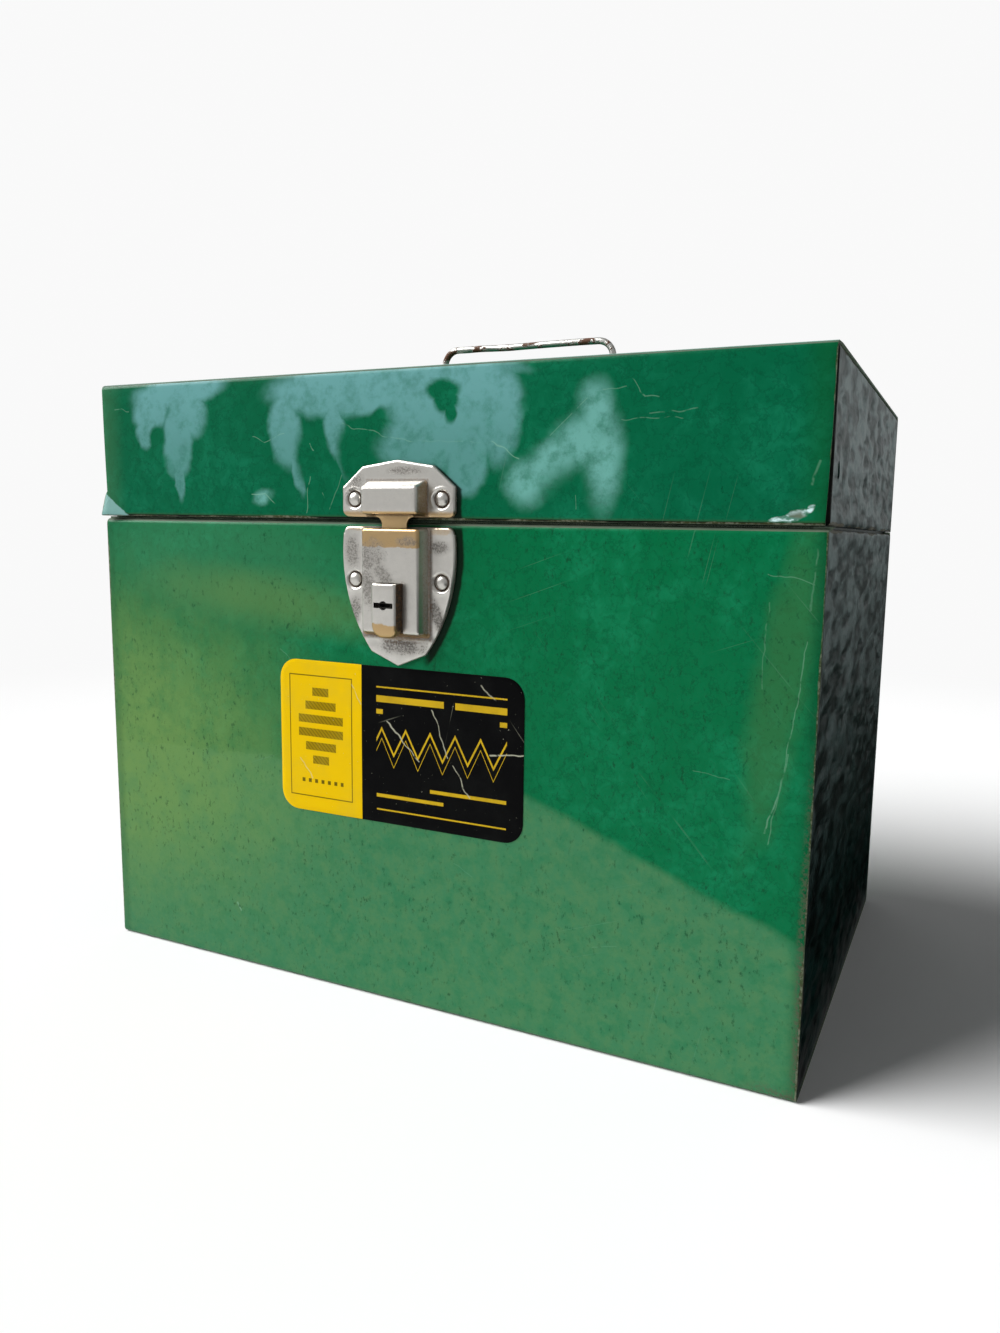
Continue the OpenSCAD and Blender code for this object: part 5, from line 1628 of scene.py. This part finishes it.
class DEEDBOX_OT_label(bpy.types.Operator):
    """The printed label on the front"""
    bl_idname = "deedbox.label"
    bl_label = "Label"

    def execute(self, context):
        lo, hi = LABEL_LO, LABEL_HI
        r = 0.008
        thick = hi.y - lo.y
        xs, zs = spread(lo.x, hi.x, 0.002), spread(lo.z, hi.z, 0.002)

        def rounded(x, z):
            cx = min(max(x, lo.x + r), hi.x - r)
            cz = min(max(z, lo.z + r), hi.z - r)
            dx, dz = x - cx, z - cz
            if dx and dz:
                big, small = max(abs(dx), abs(dz)), min(abs(dx), abs(dz))
                k = big / math.hypot(dx, dz)
                dx, dz = dx * k, dz * k
            return cx + dx, cz + dz

        rows = []
        for x in xs:
            row = []
            for z in zs:
                u, v = rounded(x, z)
                row.append(Vector((u, FRONT + front_dent(u, v) - 0.0002, v)))
            rows.append(row)
        skin = mesh_object("front_label", *grid(rows))
        if skin.data.polygons[0].normal.y > 0:
            skin.data.flip_normals()
        thicken(skin, thick, edge=0.06 * MM)
        place(skin, "box", "label_print", label_print("label print"), "label")
        return {"FINISHED"}


# Stage

class DEEDBOX_OT_stage(bpy.types.Operator):
    """Pale floor and backdrop, soft lamps and the camera"""
    bl_idname = "deedbox.stage"
    bl_label = "Stage"

    def execute(self, context):
        stage = option("deed_stage")
        scene = context.scene
        rows = []
        depth, rise, bend = 2.6, 2.4, 0.9
        line = [(-3.2, 0.0), (0.0, 0.0), (depth - bend, 0.0)]
        line += [(depth - bend + bend * math.sin(a), bend - bend * math.cos(a))
                 for a in (math.radians(v) for v in range(6, 91, 6))]
        line += [(depth, rise)]
        for y, z in line:
            rows.append([Vector((x, y, z)) for x in (-4.5, 0.0, 4.5)])
        floor = mesh_object("floor", *grid(rows))
        for face in floor.data.polygons:
            face.use_smooth = True
        made, t, shader, where = material("pale paper")
        x, y, z = t.split(where)
        away = t.math("SQRT", t.plus(t.times(x, x), t.times(y, y)))
        far = t.step(away, 0.50, 1.05)
        path = t.tree.nodes.new("ShaderNodeLightPath")
        # Seen other than by the camera, the far floor and the backdrop, and in reflections also the floor behind
        # and to the right of the box, are painted dark at the ground and grey higher up: painted shade for what the
        # box reflects
        beyond = t.most(t.step(y, 0.08, 0.14), t.step(x, HALF_W, HALF_W + 0.01))
        mirrored = t.times(path.outputs["Is Glossy Ray"], beyond)
        behind = t.most(t.times(far, t.step(y, -0.3, 0.9)), mirrored)
        seen = path.outputs["Is Camera Ray"]
        white = t.times(far, seen)
        behind = t.times(behind, t.minus(1.0, seen))
        aside = t.times(t.step(t.math("DIVIDE", x, t.most(y, 0.05)), 0.10, 0.75), t.step(away, 0.6, 1.6))
        shade = t.mix(t.most(t.step(z, 0.0, 0.55), t.times(aside, 0.6)), (0.012, 0.016, 0.014),
                      (0.38, 0.40, 0.40))
        paper = t.mix(behind, tuple(stage.floor), shade)
        t.feed(shader.inputs["Base Color"], t.mix(white, paper, (0.0, 0.0, 0.0)))
        shader.inputs["Roughness"].default_value = 0.95
        shader.inputs["Specular IOR Level"].default_value = 0.0
        shader.inputs["Emission Color"].default_value = (1, 1, 1, 1)
        t.feed(shader.inputs["Emission Strength"], t.times(white, 0.95))
        floor.data.materials.append(made)

        world = bpy.data.worlds.new("surroundings")
        scene.world = world
        world.use_nodes = True
        w = Tree(world.node_tree)
        sky = world.node_tree.nodes["Background"]
        path = world.node_tree.nodes.new("ShaderNodeLightPath")
        w.feed(sky.inputs["Color"], (1.0, 1.0, 1.0))
        shown = w.blend(path.outputs["Is Glossy Ray"], stage.world, stage.mirror)
        w.feed(sky.inputs["Strength"], w.blend(path.outputs["Is Camera Ray"], shown, 0.94))

        window = bpy.data.lights.new("window light", "SUN")
        window.energy = stage.key
        window.angle = math.radians(44)
        lamp = bpy.data.objects.new("window light", window)
        lamp.rotation_mode = "QUATERNION"
        lamp.rotation_quaternion = Vector((0.87, 0.49, -0.80)).to_track_quat("-Z", "Y")
        scene.collection.objects.link(lamp)

        camera = bpy.data.cameras.new("camera")
        camera.lens = 25.603
        camera.sensor_width = 36
        camera.shift_x = -0.04218
        camera.shift_y = -0.0031
        camera.clip_start = 0.02
        camera.clip_end = 40
        viewer = bpy.data.objects.new("camera", camera)
        right = Vector((0.910785, 0.412420, 0.019503))
        down = Vector((0.073213, -0.114834, -0.990683))
        ahead = Vector((-0.406337, 0.903727, -0.134784))
        turn = Matrix((right, -down, -ahead)).transposed().to_4x4()
        viewer.matrix_world = Matrix.Translation((0.200854, -0.406039, 0.189056)) @ turn
        scene.collection.objects.link(viewer)
        scene.camera = viewer
        scene.view_settings.view_transform = "Standard"
        return {"FINISHED"}


OPERATORS = (DEEDBOX_OT_stage, DEEDBOX_OT_body_shell, DEEDBOX_OT_end_panels, DEEDBOX_OT_lid_shell,
             DEEDBOX_OT_hinge, DEEDBOX_OT_lock_plates, DEEDBOX_OT_lock_case, DEEDBOX_OT_bail, DEEDBOX_OT_label)


class DEEDBOX_PT_panel(bpy.types.Panel):
    """Lists the settings and the pieces of the box"""
    bl_idname = "DEEDBOX_PT_panel"
    bl_label = "Deed box"
    bl_space_type = "VIEW_3D"
    bl_region_type = "UI"
    bl_category = "Deed box"

    def draw(self, context):
        for key, kind in SETTINGS.items():
            part = self.layout.box()
            part.label(text=kind.__doc__)
            for field in kind.__annotations__:
                part.prop(getattr(context.scene, key), field)
        for operator in OPERATORS:
            self.layout.operator(operator.bl_idname)


CLASSES = tuple(SETTINGS.values()) + OPERATORS + (DEEDBOX_PT_panel,)


def register():
    for item in CLASSES:
        bpy.utils.register_class(item)
    for key, kind in SETTINGS.items():
        setattr(bpy.types.Scene, key, PointerProperty(type=kind))


def unregister():
    for key in SETTINGS:
        delattr(bpy.types.Scene, key)
    for item in reversed(CLASSES):
        bpy.utils.unregister_class(item)


def main():
    register()
    make_effects()
    for operator in OPERATORS:
        area, name = operator.bl_idname.split(".")
        getattr(getattr(bpy.ops, area), name)()


if __name__ == "__main__":
    main()
